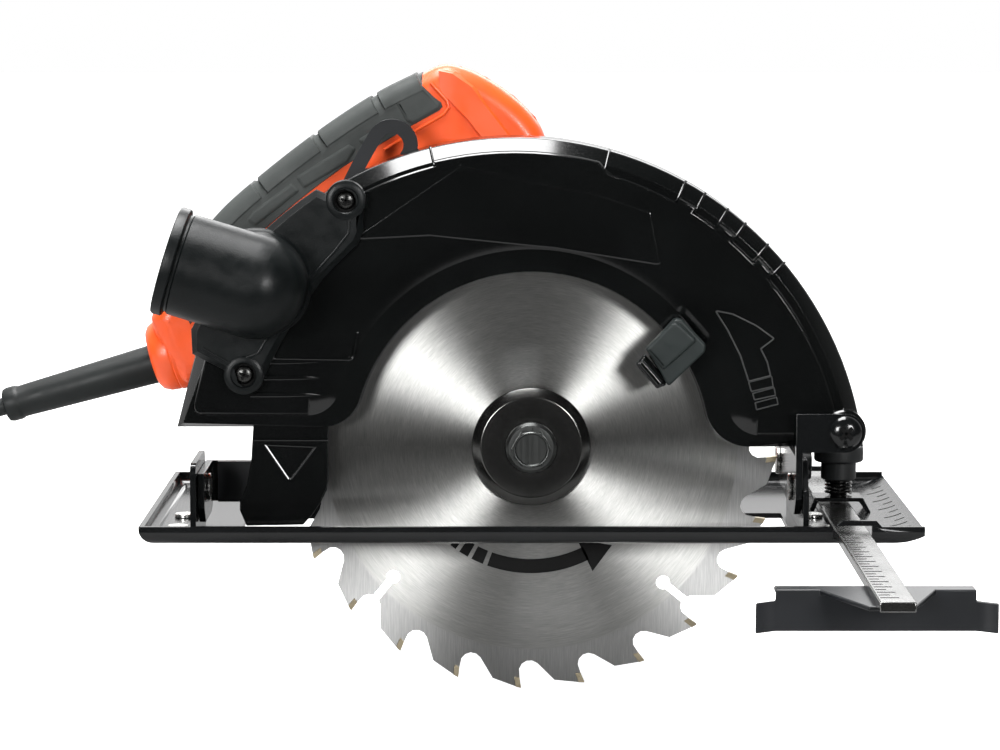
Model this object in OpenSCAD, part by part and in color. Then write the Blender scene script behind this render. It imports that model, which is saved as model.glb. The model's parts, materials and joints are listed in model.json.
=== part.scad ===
// Circular saw with a retracting guard, a tilting sole and an edge guide.
// Origin: centre of the sole's underside. X forward, Y towards the motor, Z up.

/* [Blade] */
// Diameter over the tooth tips
blade_d = 185; // [180:0.5:186]
// Diameter of the blade's bore
blade_bore = 20; // [16:1:20]
// Thickness of the blade's body
blade_t = 1.35; // [1:0.05:1.8]
// Width of the carbide tips, which is the cut
kerf = 2.8; // [2:0.1:3]
// Number of teeth
teeth = 24; // [20:4:28]
// How far the blade reaches below the sole
cut_depth = 59.5; // [56:0.5:60]
// Distance from the sole's centre line to the blade
blade_offset = 42.5; // [42:0.5:43]

/* [Sole] */
// Length of the sole
sole_l = 290; // [286:2:300]
// Width of the sole
sole_w = 143; // [143:1:150]
// Thickness of the sole
sole_t = 2; // [1.5:0.1:2]
// Height of the turned-up lips
lip_h = 6.8; // [6:0.2:7]
// Greatest bevel, in degrees
bevel_max = 45; // [30:5:45]

/* [Guards] */
// Radius of the fixed guard's arc
guard_r = 131.6; // [130:0.2:133]
// Radius of the fixed guard's opening round the arbor
opening_r = 66; // [64:0.5:68]
// Thickness of the guards' walls
wall = 1.5; // [1:0.1:1.6]
// Radius of the moving guard's rim
lower_r = 104.2; // [100:0.2:105]

/* [Depth setting] */
// Distance of the slotted quadrant's middle from the front pivot
quadrant_r = 198.5; // [198:0.5:199]
// Width of the quadrant
quadrant_w = 19.5; // [18:0.5:20]
// Width of the quadrant's slot
slot_w = 8.7; // [8.5:0.1:9]
// Swing of the saw about the front pivot, in degrees
depth_swing = 30; // [20:1:30]

/* [Drive] */
// Gear module
gear_m = 1; // [0.95:0.05:1]
// Teeth on the spindle's gear
gear_teeth = 48; // [44:4:48]
// Teeth on the armature's pinion
pinion_teeth = 12; // [12:1:13]
// Outer radius of the motor housing
motor_r = 43; // [42:0.5:44]

/* [Handle] */
// Width of the handle across its two shells
handle_w = 32; // [30:1:34]
// Distance of the handle's middle from the sole's centre line
handle_y = 10; // [9:0.5:11]
// Thickness of the handle's walls
shell_t = 3; // [2:0.5:3]
// Thickness of the rubber over the handle
rubber_t = 2.5; // [2:0.1:3]

/* [Edge guide] */
// Width of the guide's arm
arm_w = 12; // [10:0.5:12]
// Height of the guide's arm
arm_h = 3.5; // [3:0.1:3.5]
// Where the arm lies along the sole
arm_x = 118; // [118:0.5:119]
// Distance of the fence from the sole's centre line
fence_y = 175; // [150:1:180]

/* [Cord] */
// Diameter of the cord
cord_d = 7; // [6:0.1:7]
// Radius of the middle of the coil
coil_r = 38.5; // [36:0.5:40]

/* [Hidden] */
$fn = 64;

// Clearance between parts that are pressed or screwed together, and between running parts
fit = 0.02;
run = 0.05;

// Main axes
arbor_z = blade_d / 2 - cut_depth;
blade_y = -blade_offset;
pivot_x = 116.2;
pivot_z = 40.6;
bevel_z = 17.5;
gear_distance = gear_m * (gear_teeth + pinion_teeth) / 2;
motor_x = 9;
motor_z = arbor_z + sqrt(gear_distance ^ 2 - motor_x ^ 2);

// Planes across the saw, from the near side to the motor
guard_near = -55;
guard_far = -26.5;
blade_near = blade_y - blade_t / 2;
blade_far = blade_y + blade_t / 2;
lower_near = -52;
lower_far = -33.5;
gear_near = -14;
gear_far = -4;
gearbox_back = -2;
gearbox_r = 28.5;
motor_front = 12;
motor_back = 110;

// Slot in the sole for the blade and the moving guard, wide enough for the bevel
slot_x0 = -109;
slot_x1 = 97;
slot_y0 = -55.5;
slot_y1 = -8;

// Cross pin of the spindle lock
lock_y = -20.5;

// Upstands of the sole and the brackets that turn against them
web_x = 98;
web_t = 2.5;
upstand_t = 2.1;
rear_x = -126.5;
bevel_lock_r = 53;
bevel_lock_a = 3;

// Colours
enamel = [0.05, 0.05, 0.055];
black_plastic = [0.16, 0.17, 0.18];
orange = [1.0, 0.36, 0.16];
rubber_grey = [0.27, 0.28, 0.28];
steel = [0.72, 0.72, 0.71];
dark_steel = [0.25, 0.25, 0.26];
brass = [0.8, 0.62, 0.3];
copper = [0.75, 0.42, 0.25];
cast = [0.55, 0.56, 0.58];

// ---------- helpers ----------

// Cylinder along Y from y0 to y1
module ycyl(x, z, r, y0, y1) translate([x, y0, z]) rotate([-90, 0, 0]) cylinder(r = r, h = y1 - y0);

// Cone along Y from radius r0 at y0 to r1 at y1
module ycone(x, z, r0, r1, y0, y1) translate([x, y0, z]) rotate([-90, 0, 0])
    cylinder(r1 = r0, r2 = r1, h = y1 - y0);

// Cylinder along X from x0 to x1
module xcyl(y, z, r, x0, x1) translate([x0, y, z]) rotate([0, 90, 0]) cylinder(r = r, h = x1 - x0);

// Cylinder along Z from z0 to z1
module zcyl(x, y, r, z0, z1) translate([x, y, z0]) cylinder(r = r, h = z1 - z0);

// Tube along Y
module ytube(x, z, ro, ri, y0, y1) difference() {
    ycyl(x, z, ro, y0, y1);
    ycyl(x, z, ri, y0 - 1, y1 + 1);
}

// Outline drawn in X and Z, as a plate from y0 to y1
module side_plate(y0, y1) translate([0, y1, 0]) rotate([90, 0, 0]) linear_extrude(y1 - y0) children();

// Outline drawn in Y and Z, as a plate from x0 to x1
module cross_plate(x0, x1) translate([x0, 0, 0]) rotate([90, 0, 90]) linear_extrude(x1 - x0) children();

// Box between two corners
module block(a, b) translate(a) cube(b - a);

// Hexagonal prism along Y, measured across its flats
module yhex(x, z, flats, y0, y1) translate([x, y0, z]) rotate([-90, 0, 0])
    cylinder(r = flats / sqrt(3), h = y1 - y0, $fn = 6);

// Pie slice from angle a0 to a1, with steps of about 15 degrees
module pie(r, a0, a1) {
    n = ceil((a1 - a0) / 15);
    polygon(concat([[0, 0]], [for (i = [0:n]) let (a = a0 + (a1 - a0) * i / n) r * 1.02 * [cos(a), sin(a)]]));
}

// Ring sector in two dimensions
module arc_band(ro, ri, a0, a1) intersection() {
    difference() {
        circle(ro, $fn = 180);
        circle(ri, $fn = 180);
    }
    pie(ro, a0, a1);
}

// Closed smooth curve through points, with n pieces between neighbours
function smooth(p, n) = [
    for (i = [0:len(p) - 1]) let (
        a = p[(i + len(p) - 1) % len(p)], b = p[i], c = p[(i + 1) % len(p)], d = p[(i + 2) % len(p)]
    ) for (k = [0:n - 1]) let (t = k / n)
        (2 * b + (c - a) * t + (2 * a - 5 * b + 4 * c - d) * t ^ 2 + (3 * b - a - 3 * c + d) * t ^ 3) / 2
];

// Cross recess of a screw, cut along Y from y0 to y1
module cross_recess(x, z, w, y0, y1) translate([x, 0, z]) rotate([0, 45, 0]) for (a = [0, 90])
    rotate([0, a, 0]) block([-w / 2, y0, -w / 8], [w / 2, y1, w / 8]);

// ---------- sole ----------

// Side view of the tray, grown inwards by t: rounded at the rear and curled up at the front
module tray_side(t) {
    curl_x = sole_l / 2 - 13;
    curl_r = 27;
    end_x = sole_l / 2 + t;
    translate([-sole_l / 2 + 6, 6]) circle(6 - t);
    translate([-sole_l / 2 + 6, t]) square([curl_x + sole_l / 2 - 6, lip_h + t]);
    translate([-sole_l / 2 + t, 6]) square([20, lip_h - 6 + 2 * t]);
    intersection() {
        translate([curl_x, curl_r]) circle(curl_r - t, $fn = 128);
        translate([curl_x, 0]) square([end_x - curl_x, lip_h + 2 * t]);
    }
}

// End view of the tray, grown inwards by t
module tray_end(t) {
    for (s = [-1, 1]) translate([s * (sole_w / 2 - 5), 5]) circle(5 - t);
    translate([-sole_w / 2 + 5, t]) square([sole_w - 10, lip_h + t]);
    translate([-sole_w / 2 + t, 5]) square([sole_w - 2 * t, lip_h - 5 + 2 * t]);
}

module tray(t) intersection() {
    side_plate(-sole_w / 2, sole_w / 2) tray_side(t);
    cross_plate(-sole_l / 2, sole_l / 2 + t) tray_end(t);
}

// Places of the rivets through the feet of the upstands
rivet_spots = [[107.1, -58], [107.1, -30], [-131.5, -58], [-131.5, -30]];

module sole_plate() color(enamel) difference() {
    union() {
        intersection() {
            tray(0);
            block([-200, -100, -1], [200, 100, lip_h]);
        }
        side_plate(-sole_w / 2, -sole_w / 2 + sole_t)
            polygon([[110.5, lip_h - 2], [114.5, 9.1], [127, 9.1], [131, lip_h - 2]]);
        side_plate(sole_w / 2 - sole_t, sole_w / 2)
            polygon([[110.5, lip_h - 2], [114.5, 9.1], [127, 9.1], [131, lip_h - 2]]);
    }
    tray(sole_t);
    block([slot_x0, slot_y0, -1], [slot_x1, slot_y1, 10]);
    for (y = [-sole_w / 2 - 1, sole_w / 2 - 6])
        block([arm_x - 7, y, sole_t], [arm_x + 7.5, y + 7, 7.2]);
    for (p = rivet_spots) zcyl(p[0], p[1], 2.5, -1, 4);
}

module front_upstand() color(enamel) difference() {
    union() {
        cross_plate(web_x + web_t + 0.2, web_x + web_t + 0.2 + upstand_t) {
            translate([-64, 2]) square([36, 17]);
            intersection() {
                translate([-blade_offset, bevel_z]) circle(18.6);
                translate([-64, 17]) square([40, 12.5]);
            }
            translate([-40, 2]) square([50, 9]);
            translate([-blade_offset, bevel_z]) arc_band(bevel_lock_r + 7, bevel_lock_r - 7, -9, 56);
        }
        block([web_x + web_t + 0.2, -64, sole_t], [111.3, -24, 2 * sole_t]);
    }
    xcyl(blade_y, bevel_z, 4 + fit, 90, 110);
    cross_plate(90, 110) translate([-blade_offset, bevel_z]) {
        arc_band(bevel_lock_r + 3.3, bevel_lock_r - 3.3, bevel_lock_a, bevel_lock_a + bevel_max);
        for (a = [bevel_lock_a, bevel_lock_a + bevel_max])
            translate(bevel_lock_r * [cos(a), sin(a)]) circle(3.4);
    }
    for (i = [0, 1]) zcyl(rivet_spots[i][0], rivet_spots[i][1], 2.5, -1, 6);
}

module rear_upstand() color(enamel) difference() {
    union() {
        cross_plate(rear_x, rear_x + upstand_t) {
            translate([-64, 2]) square([42, 23]);
            translate([-60, 25]) square([34, 4]);
            for (y = [-60, -26]) translate([y, 25]) circle(4);
        }
        block([-136.5, -64, sole_t], [rear_x + upstand_t, -24, 2 * sole_t]);
    }
    xcyl(blade_y, bevel_z, 4 + fit, -130, -120);
    for (i = [2, 3]) zcyl(rivet_spots[i][0], rivet_spots[i][1], 2.5, -1, 6);
}

module sole_rivets() color(steel) for (p = rivet_spots) {
    zcyl(p[0], p[1], 2.5 - fit, 0.05, 2 * sole_t);
    zcyl(p[0], p[1], 4, 2 * sole_t, 2 * sole_t + 1.4);
}

// Arch over the guide's arm, tapped for the clamp screw
clamp_x = 120;
clamp_y = 0;
module clamp_bridge() color(enamel) difference() {
    side_plate(clamp_y - 7, clamp_y + 7)
        polygon([
            [107.9, 2], [109.9, 2], [111.6, 6.3], [127.4, 6.3], [130.5, 2], [132.1, 2], [129, 7.8], [110.3, 7.8]
        ]);
    zcyl(clamp_x, clamp_y, 3.5 + fit, 5, 9);
}

// Hinge pins of the bevel, fixed in the upstands
module bevel_rivets() color(steel) {
    front = web_x + web_t + 0.2 + upstand_t;
    xcyl(blade_y, bevel_z, 4, web_x - 0.1, front);
    xcyl(blade_y, bevel_z, 5.2, web_x - 1.3, web_x - 0.1);
    xcyl(blade_y, bevel_z, 5.2, front, front + 1);
    xcyl(blade_y, bevel_z, 4, rear_x, rear_x + upstand_t + web_t + 0.3);
    xcyl(blade_y, bevel_z, 5.2, rear_x - 1, rear_x);
    xcyl(blade_y, bevel_z, 5.2, rear_x + upstand_t + web_t + 0.3, rear_x + upstand_t + web_t + 1.4);
}

// ---------- edge guide ----------

module guide_arm() color(steel) difference() {
    block([arm_x - arm_w / 2, -fence_y - 42, sole_t + 0.1], [arm_x + arm_w / 2, 82, sole_t + 0.1 + arm_h]);
    block([arm_x - arm_w / 2 + 1.5, -fence_y - 36, 0], [arm_x + arm_w / 2 - 1.5, 90, sole_t + arm_h - 1.4]);
}

module guide_fence() color(enamel) {
    left = 81.5;
    right = 149.5;
    top = sole_t + 0.1;
    block([left, -fence_y, -12.2], [right, -fence_y + 1.6, top - 1.6]);
    translate([0, 0, top - 1.6]) linear_extrude(1.6) polygon([
        [left, 8 - fence_y], [left, -fence_y], [96.5, -fence_y], [109.5, -fence_y - 31],
        [125, -fence_y - 31], [135.5, -fence_y], [right, -fence_y], [right, 8 - fence_y]
    ]);
    for (e = [[left, -1], [right, 1]]) translate([0, 0, -12.2]) linear_extrude(10.4) polygon([
        [e[0], -fence_y], [e[0] + e[1] * 7, -fence_y - 4.6],
        [e[0] + e[1] * 7, -fence_y - 3], [e[0], 1.6 - fence_y]
    ]);
}

module clamp_screw() color(steel) zcyl(clamp_x, clamp_y, 3.5, sole_t + 0.2 + arm_h, 25);

module clamp_knob() color(black_plastic) difference() {
    union() {
        zcyl(clamp_x, clamp_y, 6.8, 14.3, 21.4);
        zcyl(clamp_x, clamp_y, 9.6, 21.4, 27.4);
    }
    zcyl(clamp_x, clamp_y, 3.5 + fit, 10, 25.1);
}

// ---------- bevel frame ----------

arm_near = -62;
arm_far = 22;

// Side view of the arms that hold the front pivot
module pivot_arm_outline() {
    translate([pivot_x, pivot_z - 0.3]) circle(7.2);
    translate([web_x, pivot_z - 7.5]) square([pivot_x - web_x, 14.4]);
}

module front_bracket() color(enamel) difference() {
    union() {
        cross_plate(web_x, web_x + web_t) {
            polygon([
                [arm_near, 15.7], [-55.3, 9], [-30, 9], [14, 12], [arm_far, 16], [arm_far, 31], [arm_near, 31]
            ]);
            for (y = [arm_near, arm_far - 4.5]) translate([y, 30]) square([4.5, pivot_z + 6.6 - 30]);
        }
        side_plate(arm_near, arm_near + web_t) pivot_arm_outline();
        side_plate(arm_far - web_t, arm_far) pivot_arm_outline();
    }
    xcyl(blade_y, bevel_z, 4 + run, 90, 110);
    xcyl(bevel_knob_y, bevel_knob_z, 3 + fit, 90, 110);
    ycyl(pivot_x, pivot_z, 3 + fit, -70, 30);
}

module rear_bracket() color(enamel) difference() {
    web0 = rear_x + upstand_t + 0.2;
    union() {
        cross_plate(web0, web0 + web_t) polygon([
            [-58, 24.6], [-58, 11.7], [-53.1, 6.9], [-51.4, 5.5], [-27, 5.5], [-22.5, 7], [-20, 9.5], [-20, 24.6]
        ]);
        block([web0, -22, 9], [-98, -20, 24.6]);
    }
    xcyl(blade_y, bevel_z, 4 + run, -130, -110);
}

// Slotted arc about the front pivot, with the tail that meets the rear bracket
slot_top_a = 148.2;
stud_a = slot_top_a + depth_swing + 0.1;
slot_low_a = stud_a + 0.3;
module depth_quadrant() color(enamel) difference() {
    side_plate(-24.5, -22) {
        translate([pivot_x, pivot_z]) {
            arc_band(quadrant_r + quadrant_w / 2, quadrant_r - quadrant_w / 2, slot_top_a, 181);
            translate(quadrant_r * [cos(slot_top_a), sin(slot_top_a)]) circle(quadrant_w / 2);
        }
        polygon([
            [-92, 44], [-73, 44], [-73, 36], [-80, 20], [-92, 9],
            [-119.5, 9], [-119.5, 24.6], [-104, 24.6], [-95, 32]
        ]);
    }
    side_plate(-30, -20) translate([pivot_x, pivot_z]) {
        arc_band(quadrant_r + slot_w / 2, quadrant_r - slot_w / 2, slot_top_a, slot_low_a);
        for (a = [slot_top_a, slot_low_a]) translate(quadrant_r * [cos(a), sin(a)]) circle(slot_w / 2);
    }
}

module pivot_screw() color(steel) difference() {
    union() {
        ycyl(pivot_x, pivot_z, 3, arm_near, arm_far + 5);
        intersection() {
            ycyl(pivot_x, pivot_z, 6.2, arm_near - 3.6, arm_near);
            translate([pivot_x, arm_near + 5.4, pivot_z]) sphere(9.2);
        }
    }
    cross_recess(pivot_x, pivot_z, 6, arm_near - 5, arm_near - 1.4);
}

module pivot_nut() color(steel) difference() {
    yhex(pivot_x, pivot_z, 10, arm_far, arm_far + 4.6);
    ycyl(pivot_x, pivot_z, 3 + fit, arm_far - 1, arm_far + 6);
}

// Stud of the bevel lock, standing in the web and passing through the fan slot
bevel_knob_y = blade_y + bevel_lock_r * cos(bevel_lock_a);
bevel_knob_z = bevel_z + bevel_lock_r * sin(bevel_lock_a);
module bevel_stud() color(steel) {
    xcyl(bevel_knob_y, bevel_knob_z, 3, web_x, 108.5);
    xcyl(bevel_knob_y, bevel_knob_z, 5.5, web_x - 1.6, web_x);
}

module bevel_knob() color(black_plastic) difference() {
    union() {
        xcyl(bevel_knob_y, bevel_knob_z, 6, 103.2, 106);
        for (a = [0:60:300]) xcyl(bevel_knob_y + 4.6 * cos(a), bevel_knob_z + 4.6 * sin(a), 3.4, 105, 110);
        xcyl(bevel_knob_y, bevel_knob_z, 6.4, 105, 110);
    }
    xcyl(bevel_knob_y, bevel_knob_z, 3 + run, 100, 109);
}

// ---------- fixed guard ----------

guard_x = -6.2;
guard_z = 17.5;
fillet_l = [-77.7, 56, 15];
fillet_r = [81.1, 50.5, 17];

// Outside of the guard, grown inwards by t
module guard_outline(t) intersection() {
    translate([guard_x, guard_z]) circle(guard_r - t, $fn = 256);
    polygon([[-134.8 + t, 32], [-108 + t, 135], [-108 + t, 160], [130, 160], [130, 20], [-134.8 + t, 20]]);
}

// What is cut away from the guard's near wall
module guard_mouth() difference() {
    union() {
        translate([0, arbor_z]) circle(opening_r, $fn = 180);
        polygon([
            [-63.3, 51.7], [-77.7, 41], [-140, 41], [-140, 0],
            [130, 0], [130, 33.5], [81.1, 33.5], [64.5, 46.9]
        ]);
    }
    for (f = [fillet_l, fillet_r]) translate([f[0], f[1]]) circle(f[2]);
}

stud_x = pivot_x + quadrant_r * cos(stud_a);
stud_z = pivot_z + quadrant_r * sin(stud_a);
duct_x = -94;
duct_z = 88;
module upper_guard() color(enamel) difference() {
    union() {
        side_plate(guard_near, guard_near + wall + 0.5) difference() {
            guard_outline(0);
            guard_mouth();
        }
        side_plate(guard_far - wall - 0.5, guard_far) difference() {
            guard_outline(0);
            translate([-140, 0]) square([300, 41]);
        }
        side_plate(guard_near, guard_far) difference() {
            guard_outline(0);
            guard_outline(wall + 0.5);
            translate([-140, 0]) square([140, 41]);
            translate([0, 0]) square([140, 33.5]);
        }
        ycyl(pivot_x, pivot_z, 8, guard_near - 4, arm_far - web_t - 0.4);
        ycyl(stud_x, stud_z, 7, guard_far - wall - 0.5, guard_far + 1.2);
    }
    ycyl(pivot_x, pivot_z, 3 + run, -70, 30);
    ycyl(0, arbor_z, 24.6 + fit, -30, -20);
    ycyl(stud_x, stud_z, 4 + fit, -31, -20);
    ycyl(duct_x, duct_z, 13, -60, -50);
    for (p = port_screws) ycyl(p[0], p[1], 2 + fit, -60, -50);
}

// ---------- gear housing and motor ----------

// Outline that joins a circle round the spindle to one round the motor
module gearbox_outline(r0, r1) {
    translate([0, arbor_z]) circle(r0);
    translate([motor_x, motor_z]) circle(r1);
    polygon([[-r0, arbor_z], [r0, arbor_z], [motor_x + r1, motor_z], [motor_x - r1, motor_z]]);
}

module gear_housing() color(cast) difference() {
    union() {
        side_plate(guard_far, gearbox_back) gearbox_outline(gearbox_r, motor_r);
        ycyl(0, arbor_z, 24.6, -36.4, guard_far);
    }
    ycyl(0, arbor_z, 17.5 + fit, -37, -25);
    ycyl(0, arbor_z, 12, -26, -15);
    side_plate(-16, 0) {
        translate([0, arbor_z]) circle(26.5);
        translate([motor_x, motor_z]) circle(9);
    }
    xcyl(lock_y, arbor_z, 3 + run, 5, 45);
    xcyl(lock_y, arbor_z, 5.2, 35.4, 60);
    for (a = housing_screw_a) housing_hole(a, 2.5 + fit, -16, 10);
}

// Screws that tie the motor housing to the gear housing
housing_screw_a = [20, 90, 160, 330];
module housing_hole(a, r, y0, y1) ycyl(motor_x + 36 * cos(a), motor_z + 36 * sin(a), r, y0, y1);

module housing_screws() color(steel) for (a = housing_screw_a) {
    housing_hole(a, 2.5, -14, 9);
    housing_hole(a, 4, 9, 11.5);
}

module motor_housing() color(orange) difference() {
    union() {
        side_plate(gearbox_back, 8) gearbox_outline(gearbox_r, motor_r);
        ycyl(motor_x, motor_z, motor_r, 0, motor_back);
        ycyl(0, arbor_z, 14, 7, 10);
    }
    ycyl(motor_x, motor_z, motor_r - 3, motor_front, motor_back + 1);
    ycyl(motor_x, motor_z, 16 + fit, -3, 8);
    ycyl(motor_x, motor_z, 9, 7, 20);
    ycyl(0, arbor_z, 11 + fit, -3, 5.5);
    for (a = housing_screw_a) {
        housing_hole(a, 2.5 + fit, -3, 20);
        housing_hole(a, 4.2, 9, 20);
    }
    for (s = [-1, 1]) xcyl(91, motor_z, 6.4 + fit, motor_x + s * 48 - 11, motor_x + s * 48 + 11);
    for (a = [20:20:160]) translate([motor_x, 0, motor_z]) rotate([0, a, 0])
        block([30, motor_front + 2, -2], [50, motor_front + 10, 2]);
}

// Domed cap with a ring of air slots and a pocket for the rear bearing
module motor_end_cap() color(black_plastic) difference() {
    union() {
        translate([motor_x, motor_back, motor_z]) rotate([-90, 0, 0]) rotate_extrude($fn = 96) polygon([
            [0, 0], [motor_r - 0.6, 0], [motor_r - 0.6, 6], [motor_r - 2, 10], [motor_r - 5.5, 13.5],
            [motor_r - 12, 16], [0, 16.8]
        ]);
        ycyl(motor_x, motor_z, 14, motor_back - 6, motor_back + 1);
    }
    ytube(motor_x, motor_z, motor_r - 4, 14, motor_back - 1, motor_back + 6);
    ycyl(motor_x, motor_z, 11 + fit, motor_back - 7, motor_back + 3.2);
    ycyl(motor_x, motor_z, 5, motor_back, motor_back + 6);
    for (a = [0:20:340]) translate([motor_x, 0, motor_z]) rotate([0, a, 0])
        block([19, motor_back + 1, -1.6], [32, motor_back + 20, 1.6]);
}

module spindle_bearings() color(steel) {
    ytube(0, arbor_z, 17.5, 7.5 + fit, -36, -25.1);
    ytube(0, arbor_z, 11, 4 + fit, -1.6, 5.3);
}

module armature_bearings() color(steel) {
    ytube(motor_x, motor_z, 16, 6 + fit, -1.8, 7.9);
    ytube(motor_x, motor_z, 11, 4 + fit, motor_back - 4, motor_back + 3);
}

core_y0 = 30;
core_y1 = 76;
module stator_core() color(dark_steel) difference() {
    ycyl(motor_x, motor_z, motor_r - 3 - fit, core_y0, core_y1);
    ycyl(motor_x, motor_z, 22.5, core_y0 - 1, core_y1 + 1);
    for (s = [0, 180]) side_plate(core_y0 - 1, core_y1 + 1)
        translate([motor_x, motor_z]) rotate(s) arc_band(34, 20, -52, 52);
}

module field_windings() color(copper) for (s = [0, 180]) {
    for (a = [30, 132]) side_plate(core_y0 - 4, core_y1 + 4)
        translate([motor_x, motor_z]) rotate(s) arc_band(34 - fit, 24, a, a + 18);
    for (y = [core_y0 - 5, core_y1 + 1]) side_plate(y, y + 4)
        translate([motor_x, motor_z]) rotate(s) arc_band(33, 24.6, 31, 149);
}

brush_y = 91;
module brush_holders() color(brass) for (s = [-1, 1]) translate([motor_x, brush_y, motor_z])
    rotate([0, s > 0 ? 0 : 180, 0]) difference() {
        xcyl(0, 0, 6.2, 15, 38.1);
        block([10, -4.1, -3.1], [36, 4.1, 3.1]);
    }

module carbon_brushes() color(dark_steel) for (s = [-1, 1]) translate([motor_x, brush_y, motor_z])
    rotate([0, s > 0 ? 0 : 180, 0]) block([13.1, -4, -3], [28, 4, 3]);

module brush_caps() color(black_plastic) for (s = [-1, 1]) translate([motor_x, brush_y, motor_z])
    rotate([0, s > 0 ? 0 : 180, 0]) difference() {
        xcyl(0, 0, 6.4, 38.1, motor_r + 1);
        block([motor_r - 0.6, -0.9, -5], [motor_r + 2, 0.9, 5]);
    }

// Spring wire wound round the nose of the gear housing
module guard_spring() color(dark_steel) {
    turns = 3;
    steps = 18;
    sides = 8;
    last = turns * steps;
    points = [for (i = [0:last], k = [0:sides - 1]) let (
        a = 360 * i / steps, b = 360 * k / sides, r = 26.4 + 0.5 * cos(b)
    ) [r * cos(a), -32.8 + 1.25 * i / steps + 0.5 * sin(b), arbor_z + r * sin(a)]];
    sweep(points, last, sides);
}

// Closed tube through rings of points
module sweep(points, last, sides) polyhedron(points, concat(
    [[for (k = [0:sides - 1]) k]],
    [for (i = [0:last - 1], k = [0:sides - 1]) let (j = (k + 1) % sides, a = i * sides, b = a + sides)
        [a + k, b + k, b + j, a + j]],
    [[for (k = [0:sides - 1]) last * sides + sides - 1 - k]]
));

// ---------- handle ----------

handle_path = [
    [-133, 49.8], [-140, 49.8], [-145, 61], [-149.3, 73.5], [-146.5, 80.5], [-134, 97], [-119.8, 116.4],
    [-101, 133.1], [-79.5, 149.4], [-60, 162], [-46, 168.8], [-35, 174.3], [-27, 173.8], [-17, 169.6],
    [-6, 162.1], [1.9, 154], [5.8, 146.7], [11, 130], [17, 112], [17, 92], [-18, 82], [-27, 54],
    [-60, 46], [-110, 44.5]
];
finger_path = [
    [-113, 82], [-99, 96.5], [-84, 108.5], [-60, 124], [-38, 137.5], [-26, 138], [-21, 129], [-24, 119],
    [-34, 107], [-41, 92], [-47, 79], [-62, 71], [-98, 68], [-112, 72]
];
grip_path = [
    [-33.3, 159.4], [-34.9, 156.9], [-45.4, 151.5], [-70.5, 136.1], [-83.2, 127.3], [-110, 107], [-128, 88],
    [-144, 100], [-122, 126], [-100, 143], [-60, 172], [-40, 180], [-37, 168]
];
handle_posts = [[-128, 80], [-116, 93], [-10, 152], [-75, 57], [4, 128]];
handle_y0 = handle_y - handle_w / 2;
handle_y1 = handle_y + handle_w / 2;

module handle_outline() difference() {
    polygon(smooth(handle_path, 3));
    polygon(smooth(finger_path, 3));
}

// The rubber's share of the outline: a skin over the back of the handle
module grip_skin() intersection() {
    polygon(grip_path);
    difference() {
        handle_outline();
        offset(delta = -rubber_t) handle_outline();
    }
}

module handle_core(t) offset(delta = -t) difference() {
    handle_outline();
    grip_skin();
}

// Axis of the cord's sleeve, from inside the handle to its tip
module along_sleeve(s) translate([-128, handle_y, 63.5]) rotate([0, -105.8, 0])
    translate([0, 0, s]) children();

// One half of the handle between y0 and y1, with its wall on the outside
module handle_half(y0, y1, open0, open1) difference() {
    union() {
        difference() {
            side_plate(y0, y1) handle_core(0);
            side_plate(open0, open1) handle_core(shell_t);
        }
        for (p = handle_posts) ycyl(p[0], p[1], 4.2, y0 + 0.5, y1 - 0.5);
    }
    side_plate(-30, 8) gearbox_outline(gearbox_r + fit, motor_r + fit);
    ycyl(motor_x, motor_z, motor_r + fit, 0, 60);
    side_plate(handle_y - 8, handle_y + 8)
        polygon([
            [-22, 145], [-18, 136], [-22, 124], [-64, 104], [-68, 116], [-66, 134], [-50, 142], [-40, 147]
        ]);
    along_sleeve(10) cylinder(r = 7.7, h = 40);
    along_sleeve(4) cylinder(r = 9.2, h = 7);
    ycyl(lock_button_x, lock_button_z, 4 + run, -20, 40);
    for (p = handle_posts) {
        ycyl(p[0], p[1], 1.75 + fit, handle_y0 + 3, handle_y1 + 1);
        ycyl(p[0], p[1], 3.4, handle_y1 - 4, handle_y1 + 1);
    }
}

lock_button_x = -8;
lock_button_z = 139;

module right_handle_shell() color(orange) handle_half(handle_y0, handle_y, handle_y0 + shell_t, handle_y + 1);

module left_handle_shell() color(orange) handle_half(handle_y, handle_y1, handle_y - 1, handle_y1 - shell_t);

module handle_grip() color(rubber_grey) difference() {
    side_plate(handle_y0 - 1.5, handle_y1 + 1.5) intersection() {
        polygon(grip_path);
        handle_outline();
    }
    side_plate(handle_y0 - fit, handle_y1 + fit) offset(delta = -rubber_t) handle_outline();
}

module handle_screws() color(steel) for (p = handle_posts) {
    ycyl(p[0], p[1], 1.75, handle_y0 + 3.5, handle_y1 - 4);
    ycyl(p[0], p[1], 3.2, handle_y1 - 4, handle_y1 - 1.5);
}

// Knob-ended auxiliary handle on the front of the motor housing
module front_handle() color(black_plastic) difference() {
    translate([motor_x, 6, motor_z]) rotate([0, 75, 0]) translate([0, 0, 40]) rotate_extrude() polygon([
        [0, 0], [9, 0], [8, 6], [8, 16], [9.5, 21], [14, 25], [16.5, 31], [16, 37], [12, 42.5],
        [6, 45], [0, 45.6]
    ]);
    side_plate(-30, 8) gearbox_outline(gearbox_r + fit, motor_r + fit);
    ycyl(motor_x, motor_z, motor_r + fit, 0, 60);
}

module trigger() color(black_plastic) side_plate(handle_y - 7.5, handle_y + 7.5) {
    translate([-22.6, 138]) circle(2.6);
    polygon([
        [-26, 140.4], [-22.6, 138], [-24, 132], [-36, 127], [-48, 118.5], [-57, 112.5], [-61, 113.5],
        [-59, 120], [-60, 127], [-50, 134], [-40, 141]
    ]);
}

module power_switch() color(dark_steel) translate([-53.6, handle_y, 148.5]) rotate([0, -32.5, 0])
    block([-14, shell_t + fit - handle_w / 2, -5.5], [14, handle_w / 2 - shell_t - fit, 5.5]);

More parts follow.
